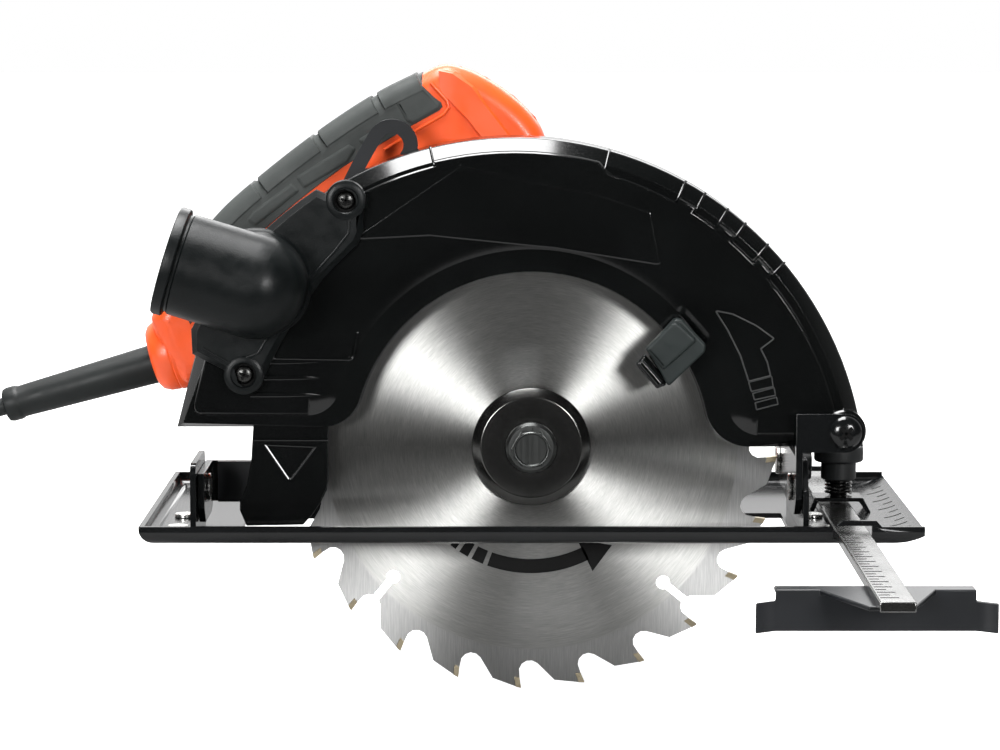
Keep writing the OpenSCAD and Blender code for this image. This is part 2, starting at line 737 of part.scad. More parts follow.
// Lock-off button that passes through the handle
module lock_button() color(black_plastic)
    ycyl(lock_button_x, lock_button_z, 4, handle_y0 - 3.5, handle_y1 + 1);

module cord_sleeve() color(rubber_grey) difference() {
    union() {
        along_sleeve(5) cylinder(r = 9, h = 5);
        along_sleeve(10) cylinder(r = 7.5, h = 8);
        along_sleeve(18) cylinder(r1 = 7.5, r2 = 6, h = 62.2);
    }
    along_sleeve(0) cylinder(r = cord_d / 2 + run, h = 90);
}

// ---------- dust port ----------

port_screws = [[-68.5, 126.5], [-106.5, 61.9]];
elbow = [-101.5, -72, 95.8];
port_tilt = 17;
port_r = 19;
port_bore = 16.8;

// Axis of the outlet, from the middle of the elbow outwards
module along_outlet(s) translate(elbow) rotate([0, -90 + port_tilt, 0]) translate([0, 0, s]) children();

module dust_port() color(black_plastic) difference() {
    union() {
        side_plate(-61, guard_near - fit) polygon(concat(
            [for (a = [123:6:153]) [guard_x + 134.5 * cos(a), guard_z + 134.5 * sin(a)]],
            [[-127.8, 72.3], [-127.1, 69.7], [-113.5, 59.6], [-109, 55], [-104, 55], [-100.9, 57.8]],
            [[-93.8, 70.8], [-87.4, 81.9], [-78.8, 94.5], [-64, 110.4], [-62.1, 113.4], [-61.4, 126.3]],
            [[-64, 131], [-68.3, 132.9]]
        ));
        for (p = port_screws) ycyl(p[0], p[1], 7, -62.6, guard_near - fit);
        translate(elbow) sphere(port_r + 0.3);
        ycyl(elbow[0], elbow[2], port_r, elbow[1], -60);
        along_outlet(0) cylinder(r = port_r, h = 33.5);
        along_outlet(29.8) cylinder(r = port_r + 1.2, h = 3.7);
    }
    translate(elbow) sphere(port_bore - 0.3);
    along_outlet(8) cylinder(r = port_bore, h = 30);
    ycyl(elbow[0], elbow[2], 15.5, elbow[1], -60.5);
    intersection() {
        ycyl(duct_x, duct_z, 13, -62, -50);
        ycyl(elbow[0], elbow[2], 15.5, -62, -50);
    }
    block([-140, guard_near - fit, 50], [-60, -40, 140]);
    for (p = port_screws) {
        ycyl(p[0], p[1], 4.9, -64, -58);
        ycyl(p[0], p[1], 2 + fit, -60, -50);
    }
}

module dust_port_screws() color(dark_steel) for (p = port_screws) difference() {
    union() {
        ycyl(p[0], p[1], 4.3, -60.6, -58);
        ycyl(p[0], p[1], 2, -58, -52.8);
    }
    cross_recess(p[0], p[1], 5, -62, -59);
}

// ---------- depth lock ----------

module depth_stud() color(steel) {
    ycyl(stud_x, stud_z, 4, guard_far - wall - 0.5, -10);
    ycyl(stud_x, stud_z, 6, guard_far - wall - 2, guard_far - wall - 0.5);
}

module depth_lever() color(black_plastic) difference() {
    union() {
        ycyl(stud_x, stud_z, 8.5, -21.7, -12);
        side_plate(-19, -13) translate([stud_x, stud_z]) rotate(129) {
            translate([0, -6]) square([40, 12]);
            translate([40, 0]) circle(6);
        }
    }
    ycyl(stud_x, stud_z, 4 + run, -30, 0);
}

// ---------- spindle and blade ----------

module spindle() color(steel) difference() {
    union() {
        ycyl(0, arbor_z, 7.5, -36.9, gear_near);
        ycyl(0, arbor_z, 8, gear_near, gear_far);
        ycyl(0, arbor_z, 4, gear_far, 5);
        ycyl(0, arbor_z, 6, -46.9, -36.9);
    }
    ycyl(0, arbor_z, 4, -50, -24.5);
    xcyl(lock_y, arbor_z, 3.3, -9, 9);
}

// Involute of a pressure angle, in degrees
function inv(a) = tan(a) * 180 / PI - a;

// Half the angle that a tooth takes at radius r
function half_tooth(n, r) = let (rb = gear_m * n / 2 * cos(25))
    90 / n - 0.1 / (gear_m * n / 2) * 180 / PI + inv(25) - (r > rb ? inv(acos(rb / r)) : 0);

// Stub-toothed spur gear, with a tooth's middle on the X axis
module gear_2d(n) {
    rp = gear_m * n / 2;
    radii = [for (k = [0:4]) rp - 1.1 * gear_m + (1.9 * gear_m) * k / 4];
    polygon([for (i = [0:n - 1]) let (a = 360 * i / n) each concat(
        [for (r = radii) r * [cos(a - half_tooth(n, r)), sin(a - half_tooth(n, r))]],
        [for (k = [4:-1:0]) radii[k] * [cos(a + half_tooth(n, radii[k])), sin(a + half_tooth(n, radii[k]))]]
    )]);
}

mesh_a = atan2(motor_z - arbor_z, motor_x);
module drive_gear() color(steel) difference() {
    side_plate(gear_near, gear_far) translate([0, arbor_z]) rotate(mesh_a) gear_2d(gear_teeth);
    ycyl(0, arbor_z, 8 + fit, -20, 0);
}

module inner_flange() color(dark_steel) difference() {
    union() {
        ycyl(0, arbor_z, 22, blade_far, -37);
        ycyl(0, arbor_z, blade_bore / 2 - fit, blade_near + 0.1, blade_far);
    }
    ycyl(0, arbor_z, 6 + fit, -50, -30);
}

module outer_flange() color(dark_steel) difference() {
    union() {
        ycyl(0, arbor_z, 22, -45.4, blade_near);
        ycone(0, arbor_z, 18.8, 22, -47.2, -45.4);
    }
    ycyl(0, arbor_z, 6 + fit, -50, -30);
}

module blade_bolt() color(steel) {
    yhex(0, arbor_z, 13, -53.6, -48.9);
    ycyl(0, arbor_z, 9.3, -48.9, -47.2);
    ycyl(0, arbor_z, 4 - fit, -47.2, -25);
}

// Point of a tooth: u along the rim, v outwards, for the tooth whose tip is at angle a
function tooth_point(a, u, v) = [v * cos(a) - u * sin(a), v * sin(a) + u * cos(a)];

tip_r = blade_d / 2;
first_tip = -92.3;
function tip_a(i) = first_tip + 360 * i / teeth;
carbide = [[0, 0], [-0.72, -3.8], [-2.7, -4.2], [-2.1, -0.45]];

module saw_blade() color(steel) difference() {
    side_plate(blade_near, blade_far) translate([0, arbor_z]) difference() {
        polygon([for (i = [0:teeth - 1]) let (a = tip_a(i)) each concat(
            [for (k = [3, 2, 1]) tooth_point(a, carbide[k][0], tip_r + carbide[k][1])],
            [for (g = [160:30:310]) tooth_point(a, 3.06 + 4.15 * cos(g), tip_r - 6.55 + 4.15 * sin(g))],
            [(tip_r - 2.66) * [cos(a + 8 * 24 / teeth), sin(a + 8 * 24 / teeth)]]
        )]);
        for (i = [0:3]) rotate(-46.2 + 90 * i) translate([tip_r - 20.4, 0]) {
            circle(2.7);
            rotate(6.7) translate([0, -1.5]) square([14, 3]);
        }
    }
    ycyl(0, arbor_z, blade_bore / 2, -50, -40);
}

module carbide_tips() color(brass) for (i = [0:teeth - 1])
    side_plate(blade_y - kerf / 2, blade_y + kerf / 2) translate([0, arbor_z])
        polygon([for (p = carbide) tooth_point(tip_a(i), p[0], tip_r + p[1])]);

// ---------- armature ----------

module armature_shaft() color(steel) {
    side_plate(gear_near - 0.5, gear_far + 0.5) translate([motor_x, motor_z])
        rotate(mesh_a + 180 + 180 / pinion_teeth) gear_2d(pinion_teeth);
    ycyl(motor_x, motor_z, 6, gear_far + 0.5, motor_back - 4.2);
    ycyl(motor_x, motor_z, 4, motor_back - 4.2, motor_back + 2.8);
}

module armature_core() color(dark_steel) {
    ytube(motor_x, motor_z, 21.8, 6 + fit, core_y0, core_y1);
    for (y = [core_y0 - 5, core_y1]) ytube(motor_x, motor_z, 17, 6 + fit, y, y + 5);
}

module commutator() color(copper) ytube(motor_x, motor_z, 13, 6 + fit, 84, 98);

module cooling_fan() color(black_plastic) difference() {
    union() {
        ycyl(motor_x, motor_z, 10, 13.4, 23);
        ycyl(motor_x, motor_z, 38, 21.5, 23);
        for (a = [0:30:330]) translate([motor_x, 0, motor_z]) rotate([0, a, 0])
            block([9, 13.8, -0.8], [37, 22, 0.8]);
    }
    ycyl(motor_x, motor_z, 6 + fit, 10, 30);
}

// ---------- moving guard ----------

guard_a0 = 28;
guard_a1 = 199;

// Radius of the rim: it flares towards the front edge
function rim_r(a) = lower_r + 6.3 * max(0, min(1, (a - 181) / 9));

// Sector of the moving guard between its rim, less t, and an inner radius
module guard_sector(t, ri, a1) difference() {
    polygon(concat(
        [[0, 0]],
        [for (k = [0:34]) let (a = guard_a0 + (a1 - guard_a0) * k / 34) (rim_r(a) - t) * [cos(a), sin(a)]]
    ));
    circle(ri, $fn = 128);
}

lever_a = 35;
module lower_guard() color(enamel) difference() {
    union() {
        side_plate(lower_far - wall, lower_far) translate([0, arbor_z]) {
            guard_sector(0, 26, guard_a1);
            circle(30);
        }
        side_plate(lower_near, lower_near + wall) translate([0, arbor_z]) guard_sector(0, 76, guard_a1);
        side_plate(lower_near, lower_far) translate([0, arbor_z]) difference() {
            guard_sector(0, 90, guard_a1);
            guard_sector(wall, 60, guard_a1 + 1);
        }
        translate([0, 0, arbor_z]) rotate([0, -lever_a, 0]) {
            block([56, lower_near, -4.5], [78, lower_near + wall, 4.5]);
            block([56, -60, -4.5], [57.5, lower_near + wall, 4.5]);
            block([56, -60, -4.5], [73, -58.5, 4.5]);
        }
    }
    ycyl(0, arbor_z, 24.6 + run, -40, -30);
}

module lever_cap() color(black_plastic) translate([0, 0, arbor_z]) rotate([0, -lever_a, 0]) difference() {
    union() {
        block([52, -66, -9.5], [76, -57.4, 9.5]);
        block([50.5, -64, -7], [53, -56.4, 7]);
    }
    block([55.9, -60.1, -4.6], [73.1, -58.4, 4.6]);
    block([55.9, -60.1, -4.6], [57.6, -50, 4.6]);
}

// ---------- spindle lock ----------

module spindle_lock() color(black_plastic) {
    xcyl(lock_y, arbor_z, 3, 12.6, 42);
    xcyl(lock_y, arbor_z, 4.8, 42, 47);
}

// ---------- cord ----------

floor_z = -60;
lead_route = [
    [-200, 10, 43.1], [-214, 10, 39], [-228, 10, 34], [-241, 10, 27], [-253, 10, 17], [-263, 10, 5],
    [-272, 10, -9], [-281, 10, -23], [-291, 10, -36], [-303, 10, -47], [-317, 10, -54], [-326, 10, -56.5]
];
coil_x = -348;
coil_y = 10 + coil_r + cord_d;
coil_out = coil_r + 1.5 * cord_d;
coil_in = coil_r - 1.5 * cord_d;
tail_route = [[-348, 101, -35], [-334, 101, -36.5], [-319, 101, -41.5]];
plug_z = floor_z + 18.5;

// Tube of the cord's diameter through a route's points
module cord_tube(route, r) {
    n = len(route);
    sides = 10;
    points = [for (i = [0:n - 1]) let (
        d = route[min(i + 1, n - 1)] - route[max(i - 1, 0)],
        t = d / norm(d), u = [0, 1, 0], v = cross(t, u) / norm(cross(t, u))
    ) for (k = [0:sides - 1]) route[i] + r * (cos(36 * k) * u + sin(36 * k) * v)];
    sweep(points, n - 1, sides);
}

module cord_lead() color(rubber_grey) {
    cord_tube(lead_route, cord_d / 2);
    cord_tube(tail_route, cord_d / 2);
}

module cord_coil() color(rubber_grey) translate([coil_x, coil_y, floor_z]) difference() {
    cylinder(r = coil_out, h = 4 * cord_d);
    translate([0, 0, -1]) cylinder(r = coil_in, h = 4 * cord_d + 2);
}

// Straight two-pin plug with earth clips, lying on its side
module mains_plug() color(black_plastic) translate([-319, 101, plug_z]) rotate([0, 90, 0]) {
    cylinder(r1 = 4.6, r2 = 6.5, h = 24);
    translate([0, 0, 24]) cylinder(r1 = 9, r2 = 14, h = 16);
    translate([0, 0, 40]) cylinder(r = 18.5, h = 22);
    for (s = [-1, 1]) translate([0, 9.5 * s, 62]) cylinder(r = 2.4, h = 19);
}

// ---------- what is drawn ----------

sole_plate();
front_upstand();
rear_upstand();
sole_rivets();
clamp_bridge();
bevel_rivets();
guide_arm();
guide_fence();
clamp_screw();
clamp_knob();
front_bracket();
rear_bracket();
depth_quadrant();
pivot_screw();
pivot_nut();
bevel_stud();
bevel_knob();
upper_guard();
gear_housing();
motor_housing();
motor_end_cap();
housing_screws();
right_handle_shell();
left_handle_shell();
handle_grip();
handle_screws();
front_handle();
dust_port();
dust_port_screws();
cord_sleeve();
power_switch();
depth_stud();
depth_lever();
spindle_bearings();
armature_bearings();
stator_core();
field_windings();
brush_holders();
carbon_brushes();
brush_caps();
guard_spring();
spindle();
drive_gear();
inner_flange();
saw_blade();
carbide_tips();
outer_flange();
blade_bolt();
armature_shaft();
armature_core();
commutator();
cooling_fan();
lower_guard();
lever_cap();
trigger();
lock_button();
spindle_lock();
cord_lead();
cord_coil();
mains_plug();
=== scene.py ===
"""A corded circular saw on a pale floor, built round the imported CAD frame.
Shapes are worked out in millimetres and become metres in piece()."""
import json
from math import asin, ceil, cos, degrees, pi, radians, sin, sqrt, tan

import bmesh
import bpy
from mathutils import Matrix, Vector
from mathutils.geometry import tessellate_polygon


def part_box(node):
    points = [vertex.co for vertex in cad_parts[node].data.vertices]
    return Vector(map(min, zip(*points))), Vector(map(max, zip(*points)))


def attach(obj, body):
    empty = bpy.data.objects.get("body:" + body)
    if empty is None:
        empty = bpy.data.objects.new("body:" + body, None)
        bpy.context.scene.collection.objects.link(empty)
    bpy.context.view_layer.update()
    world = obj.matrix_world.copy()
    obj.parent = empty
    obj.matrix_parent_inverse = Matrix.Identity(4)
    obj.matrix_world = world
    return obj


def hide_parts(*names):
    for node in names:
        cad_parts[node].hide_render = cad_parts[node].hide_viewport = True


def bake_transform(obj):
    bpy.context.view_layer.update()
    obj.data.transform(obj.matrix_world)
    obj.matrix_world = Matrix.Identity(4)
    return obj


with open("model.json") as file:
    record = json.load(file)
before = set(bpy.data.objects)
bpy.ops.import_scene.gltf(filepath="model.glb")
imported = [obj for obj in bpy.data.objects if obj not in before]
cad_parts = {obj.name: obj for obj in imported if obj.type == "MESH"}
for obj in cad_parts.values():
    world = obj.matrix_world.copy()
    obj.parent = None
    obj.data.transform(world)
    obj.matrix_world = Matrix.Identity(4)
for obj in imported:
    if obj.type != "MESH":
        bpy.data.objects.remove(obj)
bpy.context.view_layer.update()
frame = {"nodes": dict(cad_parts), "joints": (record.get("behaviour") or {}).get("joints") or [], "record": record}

MM = 0.001
BODY_OF = {n: b for b, names in frame["record"]["behaviour"]["bodies"].items() for n in names}
JOINTS = {j["name"]: j for j in frame["joints"]}


def corners(node):
    """Lowest and highest corner of a CAD node, in millimetres."""
    return tuple(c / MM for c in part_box(node))


def middle(node):
    low, high = corners(node)
    return (low + high) / 2


def joint_at(name):
    return Vector(JOINTS[name]["pos_m"]) / MM


ARBOR = joint_at("blade_spin")
MOTOR = joint_at("armature_spin")
PIVOT = joint_at("depth_swing")


# ---------- shells: lists of points and faces ----------

def join(*shells):
    points, faces = [], []
    for p, f in shells:
        base = len(points)
        points += p
        faces += [tuple(i + base for i in face) for face in f]
    return points, faces


def between(r0, r1, n):
    """Faces between two rings of n points that start at r0 and r1."""
    return [(r0 + j, r0 + (j + 1) % n, r1 + (j + 1) % n, r1 + j) for j in range(n)]


def moved(shell, matrix):
    return [matrix @ Vector(p) for p in shell[0]], shell[1]


def about_y(x, z, angle):
    """Turn about the Y axis by an angle in degrees, then a move to (x, z)."""
    return Matrix.Translation((x, 0, z)) @ Matrix.Rotation(radians(angle), 4, "Y")


def side(u, v, w):
    """An outline in X and Z, with its thickness along Y."""
    return Vector((u, w, v))


def top(u, v, w):
    """An outline in X and Y, with its thickness along Z."""
    return Vector((u, v, w))


def smooth_line(points, pieces, closed=False):
    """Catmull-Rom curve through points, with so many pieces between neighbours."""
    n = len(points)
    p = [Vector(q) for q in points]
    at = (lambda i: p[i % n]) if closed else (lambda i: p[max(0, min(n - 1, i))])
    line = []
    for i in range(n if closed else n - 1):
        a, b, c, d = at(i - 1), at(i), at(i + 1), at(i + 2)
        for k in range(pieces):
            t = k / pieces
            line.append((2 * b + (c - a) * t + (2 * a - 5 * b + 4 * c - d) * t * t
                         + (3 * b - a - 3 * c + d) * t ** 3) / 2)
    return line if closed else line + [p[-1]]


def arc(x, y, r, a0, a1, step=6):
    """Points of an arc from a0 to a1 degrees."""
    n = max(1, ceil(abs(a1 - a0) / step))
    return [Vector((x + r * cos(radians(a0 + (a1 - a0) * k / n)),
                    y + r * sin(radians(a0 + (a1 - a0) * k / n)))) for k in range(n + 1)]


def filleted(points, radius, pieces=4, closed=True):
    """The outline with each corner rounded; radius is one number or one for each point."""
    n = len(points)
    radii = radius if hasattr(radius, "__len__") else [radius] * n
    out = []
    for i, b in enumerate(points):
        b = Vector(b)
        if radii[i] <= 0 or (not closed and i in (0, n - 1)):
            out.append(b)
            continue
        a, c = Vector(points[i - 1]), Vector(points[(i + 1) % n])
        half = (a - b).angle(c - b) / 2
        cut = min(radii[i] / max(tan(half), 0.05), 0.46 * (a - b).length, 0.46 * (c - b).length)
        p, q = b + (a - b).normalized() * cut, b + (c - b).normalized() * cut
        for k in range(pieces + 1):
            t = k / pieces
            out.append(p * (1 - t) ** 2 + b * 2 * t * (1 - t) + q * t * t)
    return out


def inset(loop, distance, share=None):
    """Closed anticlockwise loop moved inwards by a distance, times each point's share of it."""
    n, out = len(loop), []
    for i in range(n):
        a, b, c = loop[i - 1], loop[i], loop[(i + 1) % n]
        d0, d1 = (b - a).normalized(), (c - b).normalized()
        m = Vector((-d0.y - d1.y, d0.x + d1.x))
        m = m / max(m.length_squared / 2, 0.5)
        out.append(b + m * distance * (share[i] if share else 1))
    return out


def turned(loop):
    """The loop, made anticlockwise."""
    loop = [Vector(p[:2]) for p in loop]
    area = sum(a.x * b.y - b.x * a.y for a, b in zip(loop, loop[1:] + loop[:1]))
    return loop if area > 0 else loop[::-1]


def plate(outer, low, high, edge=0.5, holes=(), place=side, share=None, levels=None, steps=3):
    """Solid of an outline between two depths, with rounded edges. levels gives other (inset, depth) rings."""
    loops = [(turned(outer), 1, share)] + [(turned(h), -1, None) for h in holes]
    if levels is None and edge <= 0:
        levels = [(0, low), (0, high)]
    elif levels is None:
        turn = [pi / 2 * k / steps for k in range(steps + 1)]
        near = [(edge * (1 - sin(a)), low + edge * (1 - cos(a))) for a in turn]
        levels = near + [(i, low + high - w) for i, w in reversed(near)]
    points, faces, caps = [], [], [[], []]
    for loop, sign, shares in loops:
        n = len(loop)
        base = len(points)
        for k, (i, w) in enumerate(levels):
            ring = inset(loop, sign * i, shares)
            points += [place(p.x, p.y, w) for p in ring]
            if k in (0, len(levels) - 1):
                caps[k > 0].append((ring, base + k * n))
            if k:
                faces += between(base + (k - 1) * n, base + k * n, n)
    for cap in caps:
        index = [start + j for ring, start in cap for j in range(len(ring))]
        flat = [[Vector((p.x, p.y, 0)) for p in ring] for ring, _ in cap]
        faces += [tuple(index[j] for j in t) for t in tessellate_polygon(flat)]
    return points, faces


def lathe(profile, centre=(0, 0, 0), direction=(0, 1, 0), sides=64, closed=False):
    """Surface of revolution of (radius, height) points about a direction through centre."""
    rotation = Vector(direction).to_track_quat("Z", "X").to_matrix()
    points, faces = [], []
    for r, h in profile:
        for k in range(sides):
            a = 2 * pi * k / sides
            points.append(Vector(centre) + rotation @ Vector((r * cos(a), r * sin(a), h)))
    rings = len(profile)
    for i in range(rings if closed else rings - 1):
        faces += between(i * sides, (i + 1) % rings * sides, sides)
    return points, faces


def tube(line, radius, sides=12, flat=1.0, up=(0, 1, 0)):
    """Closed tube along a line; radius is one number or a function of the share of the way along it."""
    n = len(line)
    points, faces = [], []
    across = Vector(up)
    for i in range(n):
        d = (line[min(i + 1, n - 1)] - line[max(i - 1, 0)]).normalized()
        across = (across - d * across.dot(d)).normalized()
        over = d.cross(across)
        r = radius(i / (n - 1)) if callable(radius) else radius
        for k in range(sides):
            a = 2 * pi * k / sides
            points.append(line[i] + across * r * flat * cos(a) + over * r * sin(a))
        if i:
            faces += between((i - 1) * sides, i * sides, sides)
    faces += [tuple(range(sides))[::-1], tuple(range((n - 1) * sides, n * sides))]
    return points, faces


def ridge(outline, depth, width=0.5, height=0.35, closed=False, place=side):
    """Fine raised line on a face at some depth, along an outline."""
    line = [place(p[0], p[1], depth) for p in outline]
    if closed:
        line.append(line[0])
    flat = place(0, 0, 1)
    return tube(line, width, 8, height / width, up=flat)


def block(low, high, edge=0.5):
    """Box between two corners with rounded edges."""
    a, b = Vector(low), Vector(high)
    outline = filleted([(a.x, a.y), (b.x, a.y), (b.x, b.y), (a.x, b.y)], edge, 3)
    return plate(outline, a.z, b.z, edge * 0.9, place=top)


# ---------- pieces ----------

def add_object(name, data):
    obj = bpy.data.objects.new(name, data)
    bpy.context.scene.collection.objects.link(obj)
    return obj


def finish_mesh(obj, angle):
    mesh = obj.data
    mesh.shade_smooth()
    mesh.set_sharp_from_angle(angle=radians(angle))
    weigh = obj.modifiers.new("weigh", "WEIGHTED_NORMAL")
    weigh.keep_sharp = True


def piece(name, shell, material, nodes=(), body=None, angle=50):
    """Makes a shell, in millimetres, into a piece that rides on its CAD nodes' body and stands for them."""
    nodes = [nodes] if isinstance(nodes, str) else list(nodes)
    mesh = bpy.data.meshes.new(name)
    mesh.from_pydata([tuple(Vector(p) * MM) for p in shell[0]], [], shell[1])
    work = bmesh.new()
    work.from_mesh(mesh)
    bmesh.ops.remove_doubles(work, verts=work.verts, dist=1e-6)
    bmesh.ops.dissolve_degenerate(work, edges=work.edges, dist=1e-7)
    bmesh.ops.recalc_face_normals(work, faces=work.faces)
    work.to_mesh(mesh)
    work.free()
    obj = add_object(name, mesh)
    mesh.materials.append(material)
    finish_mesh(obj, angle)
    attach(obj, body or BODY_OF[nodes[0]])
    if nodes:
        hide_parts(*nodes)
    return obj


def softened(node, material, width=0.4, segments=2):
    """A copy of a CAD node with rounded edges, which stands for it."""
    source = frame["nodes"][node]
    mesh = source.data.copy()
    work = bmesh.new()
    work.from_mesh(mesh)
    bmesh.ops.remove_doubles(work, verts=work.verts, dist=2e-6)
    bmesh.ops.dissolve_limit(work, angle_limit=radians(0.6), verts=work.verts, edges=work.edges)
    work.to_mesh(mesh)
    work.free()
    mesh.materials.clear()
    mesh.materials.append(material)
    obj = add_object(node + "_piece", mesh)
    bevel = obj.modifiers.new("bevel", "BEVEL")
    bevel.width = width * MM
    bevel.segments = segments
    bevel.limit_method = "ANGLE"
    bevel.angle_limit = radians(40)
    finish_mesh(obj, 40)
    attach(obj, BODY_OF[node])
    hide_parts(node)
    return obj


# ---------- materials ----------

class Paint:
    """A node material: helpers that add nodes round one Principled shader. Lengths are in metres."""

    def __init__(self, name, colour, rough, metal=0.0, specular=0.5, coat=0.0, coat_rough=0.05):
        self.material = bpy.data.materials.new(name)
        self.material.use_nodes = True
        self.tree = self.material.node_tree
        self.shader = self.tree.nodes["Principled BSDF"]
        self.colour = (*colour, 1)
        self.rough = rough
        self.set("Base Color", self.colour)
        self.set("Roughness", rough)
        self.set("Metallic", metal)
        self.set("Specular IOR Level", specular)
        self.set("Coat Weight", coat)
        self.set("Coat Roughness", coat_rough)
        self.bumps = None

    def set(self, socket, value):
        self.shader.inputs[socket].default_value = value

    def node(self, kind, links=(), **values):
        node = self.tree.nodes.new(kind)
        for key, value in values.items():
            if key in node.inputs:
                node.inputs[key].default_value = value
            else:
                setattr(node, key, value)
        for socket, source in dict(links).items():
            self.link(source, node.inputs[socket])
        return node

    def link(self, source, socket):
        self.tree.links.new(source, socket)

    def place(self):
        """Position on the object, in metres."""
        if not hasattr(self, "_place"):
            self._place = self.node("ShaderNodeTexCoord").outputs["Object"]
        return self._place

    def noise(self, scale, detail=3.0, rough=0.5, vector=None):
        node = self.node("ShaderNodeTexNoise", {"Vector": vector or self.place()},
                         Scale=scale, Detail=detail, Roughness=rough)
        return node.outputs["Fac"]

    def ramp(self, value, low, high, out_low=0.0, out_high=1.0):
        ends = {"From Min": low, "From Max": high, "To Min": out_low, "To Max": out_high}
        return self.node("ShaderNodeMapRange", {"Value": value}, **ends).outputs["Result"]

    def math(self, operation, a, b=None):
        node = self.node("ShaderNodeMath", operation=operation)
        for k, value in enumerate((a, b)):
            if value is None:
                continue
            if isinstance(value, (int, float)):
                node.inputs[k].default_value = value
            else:
                self.link(value, node.inputs[k])
        return node.outputs[0]

    def mix(self, factor, a, b):
        """Colour b over a by a factor; each is a socket or a colour."""
        node = self.node("ShaderNodeMix", data_type="RGBA")
        self.link(factor, node.inputs["Factor"])
        for socket, value in (("A", a), ("B", b)):
            socket = [s for s in node.inputs if s.name == socket and s.type == "RGBA"][0]
            if isinstance(value, bpy.types.NodeSocket):
                self.link(value, socket)
            else:
                socket.default_value = (*value[:3], 1)
        return [s for s in node.outputs if s.type == "RGBA"][0]

    def paint(self, socket):
        self.link(socket, self.shader.inputs["Base Color"])

    def roughen(self, socket):
        self.link(socket, self.shader.inputs["Roughness"])

    def bump(self, height, strength, distance):
        node = self.node("ShaderNodeBump", {"Height": height}, Strength=strength, Distance=distance)
        if self.bumps:
            self.link(self.bumps, node.inputs["Normal"])
        self.bumps = node.outputs["Normal"]
        self.link(self.bumps, self.shader.inputs["Normal"])


def plastic(name, colour, rough, grain=0.0, grain_size=0.35, mottle=0.12, coat=0.0, specular=0.5, dust=0.0):
    """Moulded plastic or rubber: fine grain, uneven sheen, a little mottling, and dust if asked."""
    p = Paint(name, colour, rough, specular=specular, coat=coat)
    cloud = p.noise(60, 4)
    dark = [c * (1 - mottle) for c in colour]
    light = [min(1, c * (1 + mottle)) for c in colour]
    base = p.mix(p.ramp(cloud, 0.35, 0.65), dark, light)
    if dust:
        speck = p.ramp(p.noise(2600, 1), 0.74, 0.78)
        base = p.mix(p.math("MULTIPLY", speck, dust), base, (0.5, 0.5, 0.48))
    p.paint(base)
    p.roughen(p.ramp(p.noise(220, 4), 0.3, 0.7, rough * 0.85, min(1, rough * 1.2)))
    if grain:
        p.bump(p.noise(1000 / grain_size, 2), grain, 0.00012)
    return p.material


def enamel(name, colour, rough, peel=0.06, scratches=0.25, gloss=0.5):
    """Gloss paint on steel: orange peel, faint scratches and worn, lighter spots."""
    p = Paint(name, colour, rough, specular=gloss)
    worn = p.ramp(p.noise(900, 5, 0.65), 0.68, 0.76)
    cloud = p.ramp(p.noise(45, 3), 0.35, 0.65)
    base = p.mix(cloud, [c * 0.85 for c in colour], [c * 1.25 for c in colour])
    p.paint(p.mix(p.math("MULTIPLY", worn, 0.1), base, (0.2, 0.2, 0.2)))
    wave = {"Scale": 260.0, "Distortion": 14.0, "Detail": 4.0, "Detail Scale": 1.5}
    lines = p.node("ShaderNodeTexWave", {"Vector": p.place()}, bands_direction="DIAGONAL", **wave)
    scratch = p.ramp(lines.outputs["Fac"], 0.985, 1.0)
    p.roughen(p.ramp(p.math("MULTIPLY", scratch, scratches), 0, 1, rough, rough + 0.3))
    p.bump(p.noise(520, 2), peel, 0.0001)
    return p.material


def steel(name, colour, rough, stretch=(1, 1, 1), marks=0.3, tint=0.12, relief=0.05):
    """Bare metal with brushing along one axis, smears and small nicks."""
    p = Paint(name, colour, rough, metal=1.0)
    scaled = p.node("ShaderNodeMapping", {"Vector": p.place()}, Scale=stretch)
    brush = p.noise(1500, 3, vector=scaled.outputs[0])
    smear = p.ramp(p.noise(90, 5), 0.3, 0.7)
    p.paint(p.mix(smear, [c * (1 - tint) for c in colour], [min(1, c * (1 + tint)) for c in colour]))
    p.roughen(p.ramp(brush, 0.25, 0.75, rough * (1 - marks), rough * (1 + marks)))
    p.bump(brush, relief, 0.00004)
    return p.material


